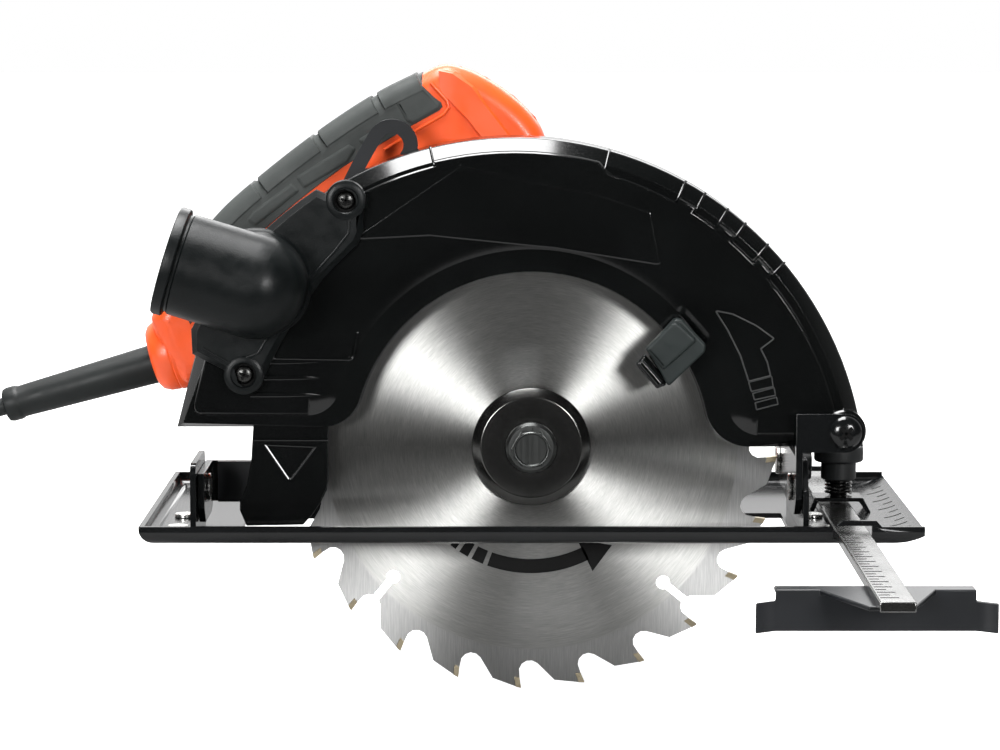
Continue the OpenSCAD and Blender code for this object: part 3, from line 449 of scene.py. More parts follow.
def blade_steel(name, edge_zone):
    """Blade body: ground in circles about the arbor, duller and darker in the tooth zone."""
    p = Paint(name, (0.62, 0.62, 0.6), 0.3, metal=1.0)
    centre = p.node("ShaderNodeVectorMath", {0: p.place()}, operation="SUBTRACT")
    centre.inputs[1].default_value = ARBOR * MM
    parts = p.node("ShaderNodeSeparateXYZ", {0: centre.outputs[0]})
    x, z = parts.outputs["X"], parts.outputs["Z"]
    radius = p.math("SQRT", p.math("ADD", p.math("MULTIPLY", x, x), p.math("MULTIPLY", z, z)))
    angle = p.math("ARCTAN2", z, x)
    ring = p.node("ShaderNodeCombineXYZ")
    p.link(p.math("MULTIPLY", radius, 2600.0), ring.inputs["X"])
    p.link(p.math("MULTIPLY", angle, 9.0), ring.inputs["Y"])
    brush = p.noise(1.0, 5, 0.7, vector=ring.outputs[0])
    broad = p.node("ShaderNodeCombineXYZ")
    p.link(p.math("MULTIPLY", radius, 260.0), broad.inputs["X"])
    p.link(p.math("MULTIPLY", angle, 2.0), broad.inputs["Y"])
    bands = p.noise(1.0, 3, 0.6, vector=broad.outputs[0])
    outside = p.ramp(radius, edge_zone * MM - 0.0004, edge_zone * MM + 0.0004)
    tone = p.mix(p.ramp(brush, 0.3, 0.7), (0.38, 0.38, 0.37), (0.62, 0.62, 0.6))
    tone = p.mix(p.ramp(bands, 0.3, 0.7, 0, 0.4), tone, (0.36, 0.36, 0.35))
    straight = p.node("ShaderNodeMapping", {"Vector": p.place()}, Rotation=(0, radians(35), 0),
                      Scale=(6, 1, 0.25))
    ground = p.noise(420, 4, 0.7, vector=straight.outputs[0])
    rim = p.mix(p.ramp(ground, 0.3, 0.7), (0.42, 0.42, 0.42), (0.6, 0.6, 0.59))
    p.paint(p.mix(outside, tone, rim))
    inner_rough = p.ramp(brush, 0.2, 0.8, 0.33, 0.4)
    rough = p.node("ShaderNodeMix", {"Factor": outside}, data_type="FLOAT")
    rough.inputs["B"].default_value = 0.5
    p.link(inner_rough, rough.inputs["A"])
    p.roughen(rough.outputs["Result"])
    p.set("Anisotropic", 1.0)
    p.set("Anisotropic Rotation", 0.25)
    tangent = p.node("ShaderNodeTangent", direction_type="RADIAL", axis="Y")
    p.link(tangent.outputs[0], p.shader.inputs["Tangent"])
    p.bump(brush, 0.05, 0.00004)
    return p.material


def make_paints():
    return {
        "guard": enamel("guard_gloss", (0.003, 0.0034, 0.0034), 0.12, peel=0.02, gloss=0.7),
        "enamel": enamel("base_gloss", (0.004, 0.0045, 0.0048), 0.16, peel=0.04, gloss=0.6),
        "satin": enamel("satin_black", (0.008, 0.009, 0.011), 0.36, peel=0.1),
        "black": plastic("black_plastic", (0.014, 0.0155, 0.016), 0.45, grain=0.25, specular=0.4, dust=0.15),
        "port": plastic("port_plastic", (0.004, 0.0052, 0.0054), 0.34, grain=0.35, grain_size=0.5,
                        specular=0.24),
        "lever": plastic("lever_plastic", (0.015, 0.02, 0.0195), 0.45, grain=0.25, specular=0.3),
        "grip": plastic("grip_rubber", (0.046, 0.051, 0.049), 0.6, grain=0.4, grain_size=0.4, specular=0.35),
        "cord": plastic("cord_rubber", (0.01, 0.012, 0.0118), 0.46, grain=0.2, specular=0.3),
        "orange": plastic("orange_plastic", (0.95, 0.105, 0.018), 0.34, grain=0.22, mottle=0.05, coat=0.1),
        "steel": steel("plated_steel", (0.6, 0.6, 0.58), 0.26),
        "dark_steel": steel("oiled_steel", (0.07, 0.07, 0.068), 0.3),
        "arm": steel("arm_steel", (0.32, 0.32, 0.315), 0.2, stretch=(1, 0.02, 1), marks=0.12, relief=0.008),
        "blade": blade_steel("blade_steel", 77.6),
        "carbide": steel("carbide", (0.5, 0.43, 0.3), 0.36, tint=0.3),
        "brass": steel("brass", (0.6, 0.43, 0.18), 0.3),
        "copper": steel("copper", (0.55, 0.24, 0.12), 0.35),
        "carbon": plastic("carbon", (0.02, 0.02, 0.02), 0.7, grain=0.4),
        "bolt": steel("bolt_steel", (0.13, 0.135, 0.132), 0.3, stretch=(1, 1, 0.02), marks=0.1, tint=0.03,
                      relief=0.004),
        "flange": steel("flange_steel", (0.15, 0.15, 0.145), 0.2, marks=0.15),
        "cast": steel("cast_alloy", (0.42, 0.43, 0.44), 0.5, marks=0.2),
        "mark": enamel("raised_marks", (0.02, 0.021, 0.021), 0.42, gloss=0.6),
        # Near-black print for the turning arrow and the scales; the same black also fills screw wells, slots and
        # cross recesses as painted shade
        "print_and_recess_shade": plastic("black_print_and_recess_shade", (0.004, 0.004, 0.004), 0.6, specular=0.1),
    }


# ---------- camera, light and floor ----------

FLOOR_Z = -60


def make_camera():
    data = bpy.data.cameras.new("camera")
    data.lens = 121
    data.sensor_width = 36
    camera = add_object("camera", data)
    camera.location = (-0.0117, -1.2953, 0.2048)
    camera.rotation_euler = (radians(83.4), 0, 0)
    bpy.context.scene.camera = camera


def area_light(name, place, target, size, power, colour=(1, 1, 1)):
    data = bpy.data.lights.new(name, "AREA")
    data.shape = "RECTANGLE"
    data.size, data.size_y = size
    data.energy = power
    data.color = colour
    light = add_object(name, data)
    light.location = place
    light.rotation_euler = (Vector(target) - Vector(place)).to_track_quat("-Z", "Y").to_euler()


def make_lights():
    area_light("top", (-0.2, 0.0, 1.35), (-0.1, 0, 0.05), (1.1, 0.75), 44)
    area_light("front_left", (-0.95, -1.87, 0.45), (0, 0, 0.04), (0.55, 0.55), 22)
    area_light("front_right", (0.88, -1.87, 0.58), (0, 0, 0.04), (0.5, 0.5), 20)
    area_light("back", (0.2, 1.6, 0.9), (0, 0, 0.05), (1.6, 0.8), 14)


def make_room():
    """The world: bright behind the saw, dark on the camera's side, and white where the camera sees it."""
    world = bpy.data.worlds.new("studio")
    world.use_nodes = True
    tree = world.node_tree
    background = tree.nodes["Background"]
    background.inputs["Color"].default_value = (1, 1, 1, 1)
    direction = tree.nodes.new("ShaderNodeTexCoord")
    parts = tree.nodes.new("ShaderNodeSeparateXYZ")
    room = tree.nodes.new("ShaderNodeMapRange")
    for key, number in {"From Min": 0.0, "From Max": 0.6, "To Min": 0.015, "To Max": 1.0}.items():
        room.inputs[key].default_value = number
    seen = tree.nodes.new("ShaderNodeMix")
    seen.inputs["B"].default_value = 1.0
    path = tree.nodes.new("ShaderNodeLightPath")
    tree.links.new(direction.outputs["Generated"], parts.inputs[0])
    tree.links.new(parts.outputs["Y"], room.inputs["Value"])
    tree.links.new(path.outputs["Is Camera Ray"], seen.inputs["Factor"])
    tree.links.new(room.outputs["Result"], seen.inputs["A"])
    tree.links.new(seen.outputs["Result"], background.inputs["Strength"])
    bpy.context.scene.world = world


def make_floor():
    """Pale floor that glows for the camera alone, and is dull in reflections."""
    floor_paint = Paint("floor", (0.7, 0.7, 0.7), 0.7, specular=0.1)
    path = floor_paint.node("ShaderNodeLightPath").outputs
    pale = floor_paint.mix(floor_paint.noise(3, 2), (0.68, 0.68, 0.68), (0.72, 0.72, 0.72))
    floor_paint.paint(floor_paint.mix(path["Is Glossy Ray"], pale, (0.25, 0.25, 0.25)))
    floor_paint.set("Emission Color", (1, 1, 1, 1))
    glow = floor_paint.node("ShaderNodeMix")
    floor_paint.link(path["Is Camera Ray"], glow.inputs["Factor"])
    glow.inputs["A"].default_value, glow.inputs["B"].default_value = 0.0, 0.9
    floor_paint.link(glow.outputs["Result"], floor_paint.shader.inputs["Emission Strength"])
    mesh = bpy.data.meshes.new("floor")
    near, far, half = -0.33, 9.0, 6.0
    mesh.from_pydata([(-half, near, 0), (half, near, 0), (half, far, 0), (-half, far, 0)], [], [(0, 1, 2, 3)])
    mesh.materials.append(floor_paint.material)
    floor = add_object("floor", mesh)
    floor.location.z = FLOOR_Z * MM - 0.0002
    bpy.context.scene.view_settings.view_transform = "Standard"


# ---------- cord, coil and plug ----------

CORD_D = 7
LEAD = [
    (-200, 10, 43.1), (-214, 10, 39), (-228, 10, 34), (-241, 10, 27), (-253, 10, 17), (-263, 10, 5),
    (-272, 10, -9), (-281, 10, -23), (-291, 10, -36), (-303, 10, -47), (-317, 10, -54), (-332, 10, -56.3),
]
TAIL = [(-334, 101, -36.5), (-319, 101, -41.5)]
COIL_TURNS = 11.5
COIL_STEPS = 28
PITCH = CORD_D + 0.1


def coil_line():
    """The coil's turns, clockwise from above: inwards, up a layer, outwards, and so on."""
    centre = middle("cord_coil")
    radii = [38.5 + PITCH, 38.5, 38.5 - PITCH]

    def turn_place(k):
        layer, step = divmod(k, 3)
        return radii[2 - step if layer % 2 else step], FLOOR_Z + CORD_D / 2 + layer * PITCH

    line = []
    for i in range(int(COIL_TURNS * COIL_STEPS) + 1):
        turn, part = divmod(i, COIL_STEPS)
        t = max(0.0, (part / COIL_STEPS - 0.78) / 0.22)
        t = t * t * (3 - 2 * t)
        (r0, z0), (r1, z1) = turn_place(turn), turn_place(turn + 1)
        r, z = r0 + (r1 - r0) * t, z0 + (z1 - z0) * t
        a = -pi / 2 - 2 * pi * i / COIL_STEPS
        line.append(Vector((centre.x + r * cos(a), centre.y + r * sin(a), z)))
    return line


def make_cord(paints):
    coil = coil_line()
    line = smooth_line(LEAD + [coil[0], coil[1]], 4)[:-4] + coil
    line += smooth_line([coil[-2], coil[-1], *TAIL], 4)[5:]
    obj = piece("cord_flex", tube(line, CORD_D / 2, 14), paints["cord"], ["cord_lead", "cord_coil"])
    obj.parent = None
    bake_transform(obj)
    return obj, line


def make_plug(paints):
    """Two-pin plug with a ribbed sleeve, lying with its pins level."""
    low, high = corners("mains_plug")
    base = Vector((low.x, (low.y + high.y) / 2, (low.z + high.z) / 2))
    profile = [(0, -0.5), (4.6, 0), (6.4, 22), (9, 24), (14, 40), (18.4, 41), (18.4, 61), (0, 62)]
    profile = filleted(profile, 1.6, 3, closed=False)
    shells = [lathe(profile, base, (1, 0, 0), 64)]
    for k in range(5):
        x = 3 + 4 * k
        low_r, high_r = 4.2 + 0.08 * x, 5.6 + 0.08 * x
        rib = [(low_r, x), (high_r, x + 0.5), (high_r, x + 2), (low_r, x + 2.5)]
        shells.append(lathe(filleted(rib, 0.3, 2), base, (1, 0, 0), 40, closed=True))
    body = piece("plug_body", join(*shells), paints["black"], ["mains_plug"])
    pins = []
    for s in (-1, 1):
        pin = filleted([(0, 61.5), (2.4, 61.5), (2.4, 80), (1.6, 81), (0, 81)], 0.5, 2, closed=False)
        pins.append(lathe(pin, base + Vector((0, 9.5 * s, 0)), (1, 0, 0), 24))
    metal = piece("plug_pins", join(*pins), paints["steel"], body="bevel_frame")
    return [body, metal]


# ---------- fixed guard ----------

RIM = (-6.2, 17.5, 131.6)
# Angle and radius along the edge of the guard's raised face, which steps in and out over the front
BAND = [
    (150, 125.3), (103.8, 125.3), (103.8, 127), (75.8, 127), (73.3, 123.7), (61.2, 123.7), (61.2, 125.6),
    (57.5, 125.6), (57.5, 123.6), (53, 123.6), (53, 125.6), (49.3, 125.6), (49.3, 123.3), (44.3, 123.3),
    (44.3, 125.6), (40.3, 125.6), (40.3, 123.4), (11, 123.4),
]


def band_edge():
    """Edge of the raised face from its rear end to its front end."""
    line = []
    for (a0, r0), (a1, r1) in zip(BAND, BAND[1:]):
        n = max(1, ceil((a0 - a1) / 3))
        for k in range(n if (a1, r1) != BAND[-1] else n + 1):
            a, r = radians(a0 + (a1 - a0) * k / n), r0 + (r1 - r0) * k / n
            line.append(Vector((RIM[0] + r * cos(a), RIM[1] + r * sin(a))))
    return line


def guard_side(inside, low):
    """Rear edge and arc of the guard, set in, down to the height low at the front."""
    r = RIM[2] - inside
    end = degrees(asin((low - RIM[1]) / r))
    rear = [Vector((-132.5 + inside, 41)), Vector((-122.5 + inside, 79.3))]
    return rear + arc(RIM[0], RIM[1], r, 151.6, end, 2.5)


def make_upper_guard(paints):
    rim = guard_side(0, 33.5)
    mouth = [Vector((81.1, 33.5))] + arc(81.1, 50.5, 17, 268, 192.2) + arc(0, ARBOR.z, 66, 12.2, 163.5, 3)
    mouth += arc(-77.7, 56, 15, -16.6, -88) + [Vector((-77.7, 41))]
    share = [1.0] * len(rim) + [0.14] * len(mouth)
    share[0] = 0.4
    chamfer = [(5.7, -53.8), (5.2, -53.72), (0.55, -49.2), (0.15, -48.5), (0, -47.6), (0, -46), (2, -46)]
    outline = rim + mouth
    near = plate(outline[::-1], 0, 0, share=share[::-1], levels=chamfer)
    wall = rim + guard_side(2, 33.5)[::-1]
    back = guard_side(0, 41) + arc(0, ARBOR.z, 24.8, 19, 161)
    lug = [(3.05, -59), (7.4, -59), (8, -58.4), (8, 19), (3.05, 19.1)]
    shells = [
        near,
        plate(wall, -46.5, -26.5, 0.5),
        plate(back, -28.6, -26.5, 0.4),
        lathe(lug, (PIVOT.x, 0, PIVOT.z), closed=True),
    ]
    face = [Vector((-127, 46)), Vector((-118, 80.5))] + band_edge()[1:] + [Vector((115.6, 38.5))]
    face += arc(85.2, 50.5, 12, 270, 191.6) + arc(0, ARBOR.z, 75, 13, 163, 3) + arc(-83.3, 58, 12, -16.7, -90)
    soft = [(9, -55.2), (6.6, -55.08), (4.4, -54.8), (2.4, -54.4), (0.8, -54), (0, -53.8), (0, -53.4)]
    face = turned(filleted(face, [4, 8] + [0] * (len(face) - 3) + [3], 4))
    share = [1 if (p - Vector((0, ARBOR.z))).length < 84 else 0.12 for p in face]
    shells.append(plate(face, 0, 0, share=share, levels=soft))
    # Ends of the bands, running out over the chamfer
    for (a0, r0), (a1, r1) in zip(BAND[1:-1], BAND[2:]):
        if abs(a0 - a1) < 3 and abs(r0 - r1) > 1:
            a = radians((a0 + a1) / 2)
            out = Vector((cos(a), sin(a)))
            line = [Vector(RIM[:2]) + out * r for r in (min(r0, r1), 126.2, 130.9, RIM[2])]
            depths = (-54.9, -53.7, -49.4, -48)
            shells.append(tube([side(p.x, p.y, w) for p, w in zip(line, depths)], 0.5, 10))
    return piece("fixed_guard", join(*shells), paints["guard"], "upper_guard", angle=32)


def make_guard_marks(paints):
    """Raised panel, arrow, bars and stiffening ribs moulded in the guard's face."""
    level = -55.2
    panel = [(-67.2, 111.5), (-37.6, 113), (8, 108.4), (48, 102), (44.3, 122), (25, 128.5), (3.1, 132.5),
             (-26.5, 139.3)]
    arrow = [(68.1, 85.3), (74.6, 84), (83.2, 79.8), (90, 74.9), (85.1, 71.1), (87.6, 66), (88.8, 61),
             (80.7, 58.9), (77.6, 68.4), (72.8, 77.9)]
    bars = [[(80.7, 58.6), (89.2, 60.8), (89.8, 57), (81.7, 55.1)],
            [(82.2, 54.4), (90.1, 56.6), (90.7, 53.7), (82.9, 52)],
            [(83.2, 50.9), (91.1, 53), (91.7, 50.4), (83.7, 48.3)]]
    raised = [(0.9, level - 0.36), (0.4, level - 0.29), (0, level)]
    shells = [plate(filleted(panel, 1.5), 0, 0, levels=raised)]
    lines = [ridge(filleted(arrow, 0.5), level, 0.33, 0.3, closed=True)]
    lines += [ridge(filleted(bar, 0.3, 2), level, 0.28, 0.26, closed=True) for bar in bars]
    for z in (66.2, 60.2, 53.8):
        line = [side(-104.5 + 3.25 * k, z, level + 0.01 * k) for k in range(9)]
        shells.append(tube(line, lambda t: 0.95 * (1 - t ** 4) + 0.08, 8, 0.55, up=(0, 1, 0)))
    bend = filleted([(-96.5, 67.5), (-66.3, 67), (-64.4, 76.9)], 2, closed=False)
    shells.append(ridge(bend, level, 0.45, 0.4))
    return [piece("guard_marks", join(*shells), paints["guard"], body="head", angle=40),
            piece("guard_arrow", join(*lines), paints["mark"], body="head", angle=40)]


# ---------- moving guard ----------

def make_lower_guard(paints):
    near, far = -52, -33.5
    rim_r, mouth_r, wall = 104.2, 76, 1.6
    rim = arc(0, ARBOR.z, rim_r, 28, 177, 3)
    left = [(-104.7, 28.8), (-106.4, 19.4), (-109, 13.4), (-109.1, 10), (-106.6, 4)]
    right = [(-85.4, 4.4), (-81.9, 8.3), (-78.5, 13.4), (-76.4, 17.7), (-75.8, 21.1)]
    inner = arc(0, ARBOR.z, mouth_r, 184, 28, 3)
    rear = [Vector(p) for p in left]
    side_wall = rim + rear + [Vector(p) for p in right] + inner
    band = rim + rear + [p + Vector((wall, 0.2)) for p in reversed(rear)]
    band += arc(0, ARBOR.z, rim_r - wall, 177, 28, 3)
    hub = rim + [Vector((-104, 20)), Vector((-100, 4)), Vector((-26, 4))] + arc(0, ARBOR.z, 30, 255, 388, 6)
    shells = [
        plate(side_wall, near, near + wall, 0.6),
        plate(band, near + 0.3, far, 0.3),
        plate(hub, far - 1.5, far, 0.4, holes=[arc(0, ARBOR.z, 24.75, 0, 355, 5)]),
    ]
    for line in ([(-99.5, 34.8), (-90.3, 21.1), (-80.5, 34)], [(-80.5, 34), (-99.5, 34.8)]):
        shells.append(ridge(filleted(line, 0.8, closed=False), near, 0.55, 0.5))
    shells.append(ridge([(-103.9, 36.6), (-75.9, 36.6)], near, 0.6, 0.5))
    arm = [block((56, near, -4.5), (78, near + 1.6, 4.5), 0.5),
           block((56, -60, -4.5), (57.6, near + 1, 4.5), 0.4),
           block((56, -60, -4.5), (73, -58.5, 4.5), 0.4)]
    shells += [moved(s, about_y(0, ARBOR.z, -35)) for s in arm]
    return piece("moving_guard_shell", join(*shells), paints["guard"], "lower_guard", angle=40)


def make_lever_cap(paints):
    """Thumb grip of the moving guard: a flat face, a lit lip under it, and the lever's black foot."""
    body = filleted([(41.8, 72), (52.6, 83), (60.9, 75.2), (48.6, 64.4)], [1, 3.6, 1.6, 0.8], 5)
    under = [(42.4, 71.6), (52.8, 83.2), (55.4, 82.8), (64.3, 73.4), (63.8, 70.8), (50.4, 57.8), (47.6, 63.2)]
    under = filleted(under, [0.8, 2.6, 2.2, 1.8, 1.6, 1.2, 0.8], 4)
    shells = [plate(body, 0, 0, levels=[(1.3, -66), (0.8, -65.95), (0.3, -65.7), (0, -65.2), (0, -61)]),
              plate(under, -64.4, -57.5, 1.1, steps=4)]
    grip = piece("lever_grip", join(*shells), paints["lever"], "lever_cap", angle=40)
    foot = [(38.3, 66.1), (41.8, 69.8), (49.8, 60.2), (49.6, 58.1), (46.3, 56.7)]
    foot = filleted(foot, [1.2, 0.5, 0.5, 0.8, 1.2], 3)
    step = filleted([(39.2, 66.2), (40.8, 68), (48.6, 58.9), (46.6, 57.6)], 0.6, 3)
    shells = [plate(foot, -61.4, -57.4, 0.8), plate(step, -62.4, -60, 0.7)]
    lever = piece("lever_foot", join(*shells), paints["guard"], body="moving_guard",
                  angle=40)
    return [grip, lever]


# ---------- dust port ----------

ELBOW = Vector((-101.5, -72, 95.8))
PORT_TILT = 17
PORT_SCREWS = [(-68.5, 126.5), (-106.5, 61.9)]


def make_dust_port(paints):
    outline = arc(RIM[0], RIM[1], 134.5, 123, 153, 3)
    outline += [Vector(p) for p in (
        (-125.7, 69.4), (-112.1, 62.4), (-110.8, 57.6), (-106.6, 54.3), (-101.9, 55.7), (-99.9, 59.5),
        (-93.3, 72.7), (-84.7, 86.9), (-77.2, 97.2), (-64, 110.4), (-62.1, 115), (-62.1, 127.2),
        (-63.9, 131.4), (-68.6, 133.3), (-72.3, 132.3), (-75.6, 128.6))]
    rings = [(2.5, -60.6), (2.2, -60.52), (0.2, -57.6), (0, -57.2), (0, -55.1)]
    shells = [plate(outline, 0, 0, holes=[arc(x, z, 4.6, 0, 345, 15) for x, z in PORT_SCREWS], levels=rings)]
    line = [(-122, 72), (-111.4, 66), (-101, 70), (-90.5, 88), (-72.5, 108), (-67.4, 114.5), (-67.2, 119)]
    shells.append(ridge(filleted(line, 3, closed=False), -60.6, 0.55, 0.4))
    for x, z in PORT_SCREWS:
        boss = [(4.5, -57), (4.5, -60.7), (4.9, -61.1), (6.3, -61.1), (7.3, -60.5), (7.5, -57)]
        shells.append(lathe(boss, (x, 0, z), sides=48, closed=True))
    outward = Vector((-cos(radians(PORT_TILT)), 0, sin(radians(PORT_TILT))))
    turn = [radians(-90 + 7.5 * k) for k in range(12)]
    tube_wall = [(19.3 * cos(a), 19.3 * sin(a)) for a in turn]
    tube_wall += [(19.25, 2), (19, 6), (18.9, 27.6), (18.3, 28.2), (18.3, 29), (19.8, 29.4), (20.2, 29.9)]
    tube_wall += [(20.2, 32.8), (19.7, 33.5), (17.4, 33.5), (16.8, 33), (16.8, 26), (16.3, 25.6), (16.3, 10)]
    tube_wall += [(12, 3), (0, 1)]
    shells.append(lathe(tube_wall, ELBOW, outward, 96))
    foot = [(19.2, 0), (19.2, 9), (19.4, 10.6), (20.2, 11.4), (20.6, 12.6)]
    shells.append(lathe(foot, ELBOW, (0, 1, 0), 96))
    return piece("dust_outlet", join(*shells), paints["port"], "dust_port", angle=38)


def make_port_screws(paints):
    """Dark cross-headed screws, sunk in the port's bosses. Black discs round the heads and black slots across them
    are painted shade in the well and in the cross recess.
    """
    heads, well_shade = [], []
    for x, z in PORT_SCREWS:
        # Black disc in the well round the head: painted shade
        well_shade.append(lathe([(0, -58.6), (4.7, -58.6), (4.7, -58), (0, -58)], (x, 0, z), sides=40))
        heads.append(lathe([(0, -60.3), (1.8, -60.2), (2.9, -59.8), (3.4, -59.2), (3.4, -58.4), (0, -58.4)],
                           (x, 0, z), sides=40))
        # Black slots across the head: painted shade in its cross recess
        for a in (20, 110):
            slot = block((-1.9, -60.42, -0.5), (1.9, -59.8, 0.5), 0.15)
            well_shade.append(moved(slot, about_y(x, z, a)))
    return [piece("port_screw_heads", join(*heads), paints["dark_steel"], "dust_port_screws", angle=40),
            piece("port_screw_painted_shade", join(*well_shade), paints["print_and_recess_shade"], body="head", angle=40)]


# ---------- handle ----------

HANDLE_Y = 10
HANDLE_HALF = 16
HANDLE = [
    (-129, 51.5), (-134.5, 52.5), (-141, 61), (-146, 73.5), (-145.4, 80.5), (-134, 97), (-119.8, 116.4),
    (-101, 133.1), (-79.5, 149.4), (-60, 162), (-46, 168.8), (-35, 174.3), (-27, 173.8), (-17, 169.6),
    (-6, 162.1), (1.9, 154), (5.8, 146.7), (11, 130), (17, 112), (17, 92), (-18, 82), (-27, 54),
    (-60, 46), (-110, 44.5),
]
FINGERS = [
    (-113, 82), (-99, 96.5), (-84, 108.5), (-60, 124), (-38, 137.5), (-26, 138), (-21, 129), (-24, 119),
    (-34, 107), (-41, 92), (-47, 79), (-62, 71), (-98, 68), (-112, 72),
]
# Across the nose in front of the grip: inner edge, crease, outer edge, and how far it stands out
NOSE = [
    ((-34.5, 164.5), (-35.2, 172.6), (-35.6, 174.2), 0), ((-30.6, 161), (-30, 171.6), (-27, 173.9), 0.5),
    ((-27, 157.3), (-22.4, 166.4), (-17, 169.8), 0.9), ((-23.8, 154), (-17.5, 159.5), (-6, 162.3), 1),
    ((-18.3, 147), (-8.1, 147.4), (2.1, 154.2), 1), ((-12, 137), (-1, 134), (7.5, 143), 1),
    ((-8, 126), (5, 118), (13, 124), 0),
]
# Raised panels on the sides of the grip
GRIP_PANELS = [
    [(-109.1, 115.6), (-106.7, 119.1), (-91.7, 129.8), (-88.4, 126.8), (-105.6, 113.2)],
    [(-90.1, 132.1), (-69.7, 144.7), (-66.7, 143), (-70.1, 137.6), (-87, 127.6)],
    [(-66.4, 146.4), (-51.8, 154.4), (-48.6, 152.6), (-63.3, 143.4)],
]
# Line of the orange lip round the grip's front end
NOSE_LIP = [(-38.2, 168), (-32, 161.2), (-31.4, 158.6), (-33.4, 156), (-43.6, 150), (-56, 142.4)]
NOSE_PANEL = [(-51.5, 160.5), (-47.4, 153.2), (-44.9, 152.3), (-34.4, 158.3), (-34.7, 160.3), (-41.6, 167.2)]
BACK = [
    (-143.5, 84.5), (-134, 97), (-119.8, 116.4), (-101, 133.1), (-79.5, 149.4), (-60, 162), (-41.5, 171.2),
]


def handle_levels(near, far, edge, seam, out=0.0):
    """Rings of a half of the handle, rounded on its outside and with a fine step at the seam."""
    turn = [pi / 2 * k / 6 for k in range(7)]
    sign = 1 if far > near else -1
    rings = [(edge * (1 - sin(a)) - out, near + sign * edge * (1 - cos(a))) for a in turn]
    return rings + [(-out, far - sign * 0.6), (seam - out, far - sign * 0.15), (seam + 0.8, far)]


def make_handle(paints):
    outline = [p.xy for p in smooth_line([(x, z, 0) for x, z in HANDLE], 5, closed=True)]
    hole = [p.xy for p in smooth_line([(x, z, 0) for x, z in FINGERS], 5, closed=True)]
    made = []
    for name, near, node in (("handle_right", HANDLE_Y - HANDLE_HALF, "right_handle_shell"),
                             ("handle_left", HANDLE_Y + HANDLE_HALF, "left_handle_shell")):
        shell = plate(outline, 0, 0, holes=[hole], levels=handle_levels(near, HANDLE_Y, 7.5, 0.35))
        made.append(piece(name, shell, paints["orange"], node, angle=60))
    # Nose in front of the grip: a band that stands proud at its crease and falls away to the outline
    for s in (-1, 1):
        wall = HANDLE_Y + s * HANDLE_HALF
        points, faces = [], []
        for k, (inner, crease, outer, rise) in enumerate(NOSE):
            inside = Vector(outer).lerp(Vector(inner), 0.4)
            rises = (-3, 1.5 * rise, 0.7 * rise, -9, -9)
            for (x, z), y in zip((inner, inner, crease, outer, inside), rises):
                points.append(Vector((x, wall + s * y, z)))
            if k:
                faces += between(5 * (k - 1), 5 * k, 5)
        faces += [tuple(range(5)), tuple(range(5 * len(NOSE) - 5, 5 * len(NOSE)))]
        lip = [side(x, z, wall + s * 0.1) for x, z in NOSE_LIP]
        shells = [(points, faces), tube(lip, 0.75, 10)]
        name = "handle_cheek_left" if s > 0 else "handle_cheek_right"
        made.append(piece(name, join(*shells), paints["orange"], body="head",
                          angle=12))
    # Round collar where the cord comes out
    start, d = sleeve_axis()
    start.z += 2.2
    collar = [(8, -16), (12.8, -16), (14.2, -2), (14.7, 5), (14.6, 11.5), (14.1, 12), (14.3, 12.6),
              (13.9, 16), (12.6, 18.6), (10.8, 19.8), (9.2, 20), (8.6, 19.2), (8.2, 16)]
    made.append(piece("cord_collar", lathe(collar, start, d, 72, closed=True), paints["orange"], body="head",
                      angle=40))
    return made


def back_point(share):
    """Point and outward normal on the handle's back, at a share of its length."""
    line = smooth_line([(x, z, 0) for x, z in BACK], 12)
    steps = [(q - p).length for p, q in zip(line, line[1:])]
    left = sum(steps) * share
    i = 0
    while i < len(steps) - 1 and left > steps[i]:
        left -= steps[i]
        i += 1
    d = (line[min(i + 2, len(line) - 1)] - line[max(i - 1, 0)]).normalized()
    return line[i].lerp(line[i + 1], min(1, left / steps[i])).xy, Vector((-d.y, d.x))


def saddle_pad(a, b, low, high, half, corner):
    """A pad that wraps over the handle's back from share a to share b of its length."""
    turn = [radians(18 * k) for k in range(6)]
    section = [(low, half)]
    section += [(high - corner * (1 - sin(t)), half - corner * (1 - cos(t))) for t in turn]
    section += [(h, -y) for h, y in reversed(section)]
    points, faces = [], []
    m = len(section)
    stations = [0, 0.02, *[k / 8 for k in range(1, 8)], 0.98, 1]
    for k, t in enumerate(stations):
        p, n = back_point(a + (b - a) * t)
        shrink = 0.6 if t in (0, 1) else 0
        for h, y in section:
            q = p + n * (h - shrink if h > low else h)
            points.append(Vector((q.x, HANDLE_Y + y * (half - shrink) / half, q.y)))
        if k:
            faces += between((k - 1) * m, k * m, m)
    return points, faces + [tuple(range(m)), tuple(range(len(points) - m, len(points)))]


def make_grip(paints):
    """Soft skin on the handle's back, with raised pads over its top and panels on its sides."""
    inner, outer = [], []
    for k in range(13):
        p, n = back_point(k / 12)
        inner.append(p - n * 15.7)
        outer.append(p + n * 0.5)
    nose = [(-56.5, 144.9), (-44.9, 151.7), (-34.7, 157.3), (-33.4, 158.9), (-33.9, 160.7)]
    nose = [Vector(p) for p in nose]
    skin = inner[:9] + nose + outer[::-1]
    share = [0.06] * (9 + len(nose)) + [1.0] * 13
    shells = []
    for near in (HANDLE_Y - 16.6, HANDLE_Y + 16.6):
        sign = 1 if near < HANDLE_Y else -1
        shells.append(plate(skin, 0, 0, share=share, levels=handle_levels(near, HANDLE_Y, 7.6, 0.1)))
        rings = [(i, near + sign * y) for i, y in ((1.2, -0.55), (0.5, -0.45), (0, -0.05), (0, 3))]
        for panel in GRIP_PANELS:
            shells.append(plate(filleted(panel, 1.0, 2), 0, 0, levels=rings))
        shells.append(plate(filleted(NOSE_PANEL, [0.6, 0.6, 1.4, 1.4, 0.8, 0.8], 3), 0, 0, levels=rings))
    for a, b in ((0.02, 0.205), (0.225, 0.425), (0.445, 0.64), (0.66, 0.84), (0.86, 0.985)):
        shells.append(saddle_pad(a, b, -5.4, 1.4, 17.3, 6.6))
    return piece("grip_pads", join(*shells), paints["grip"], "handle_grip", angle=50)


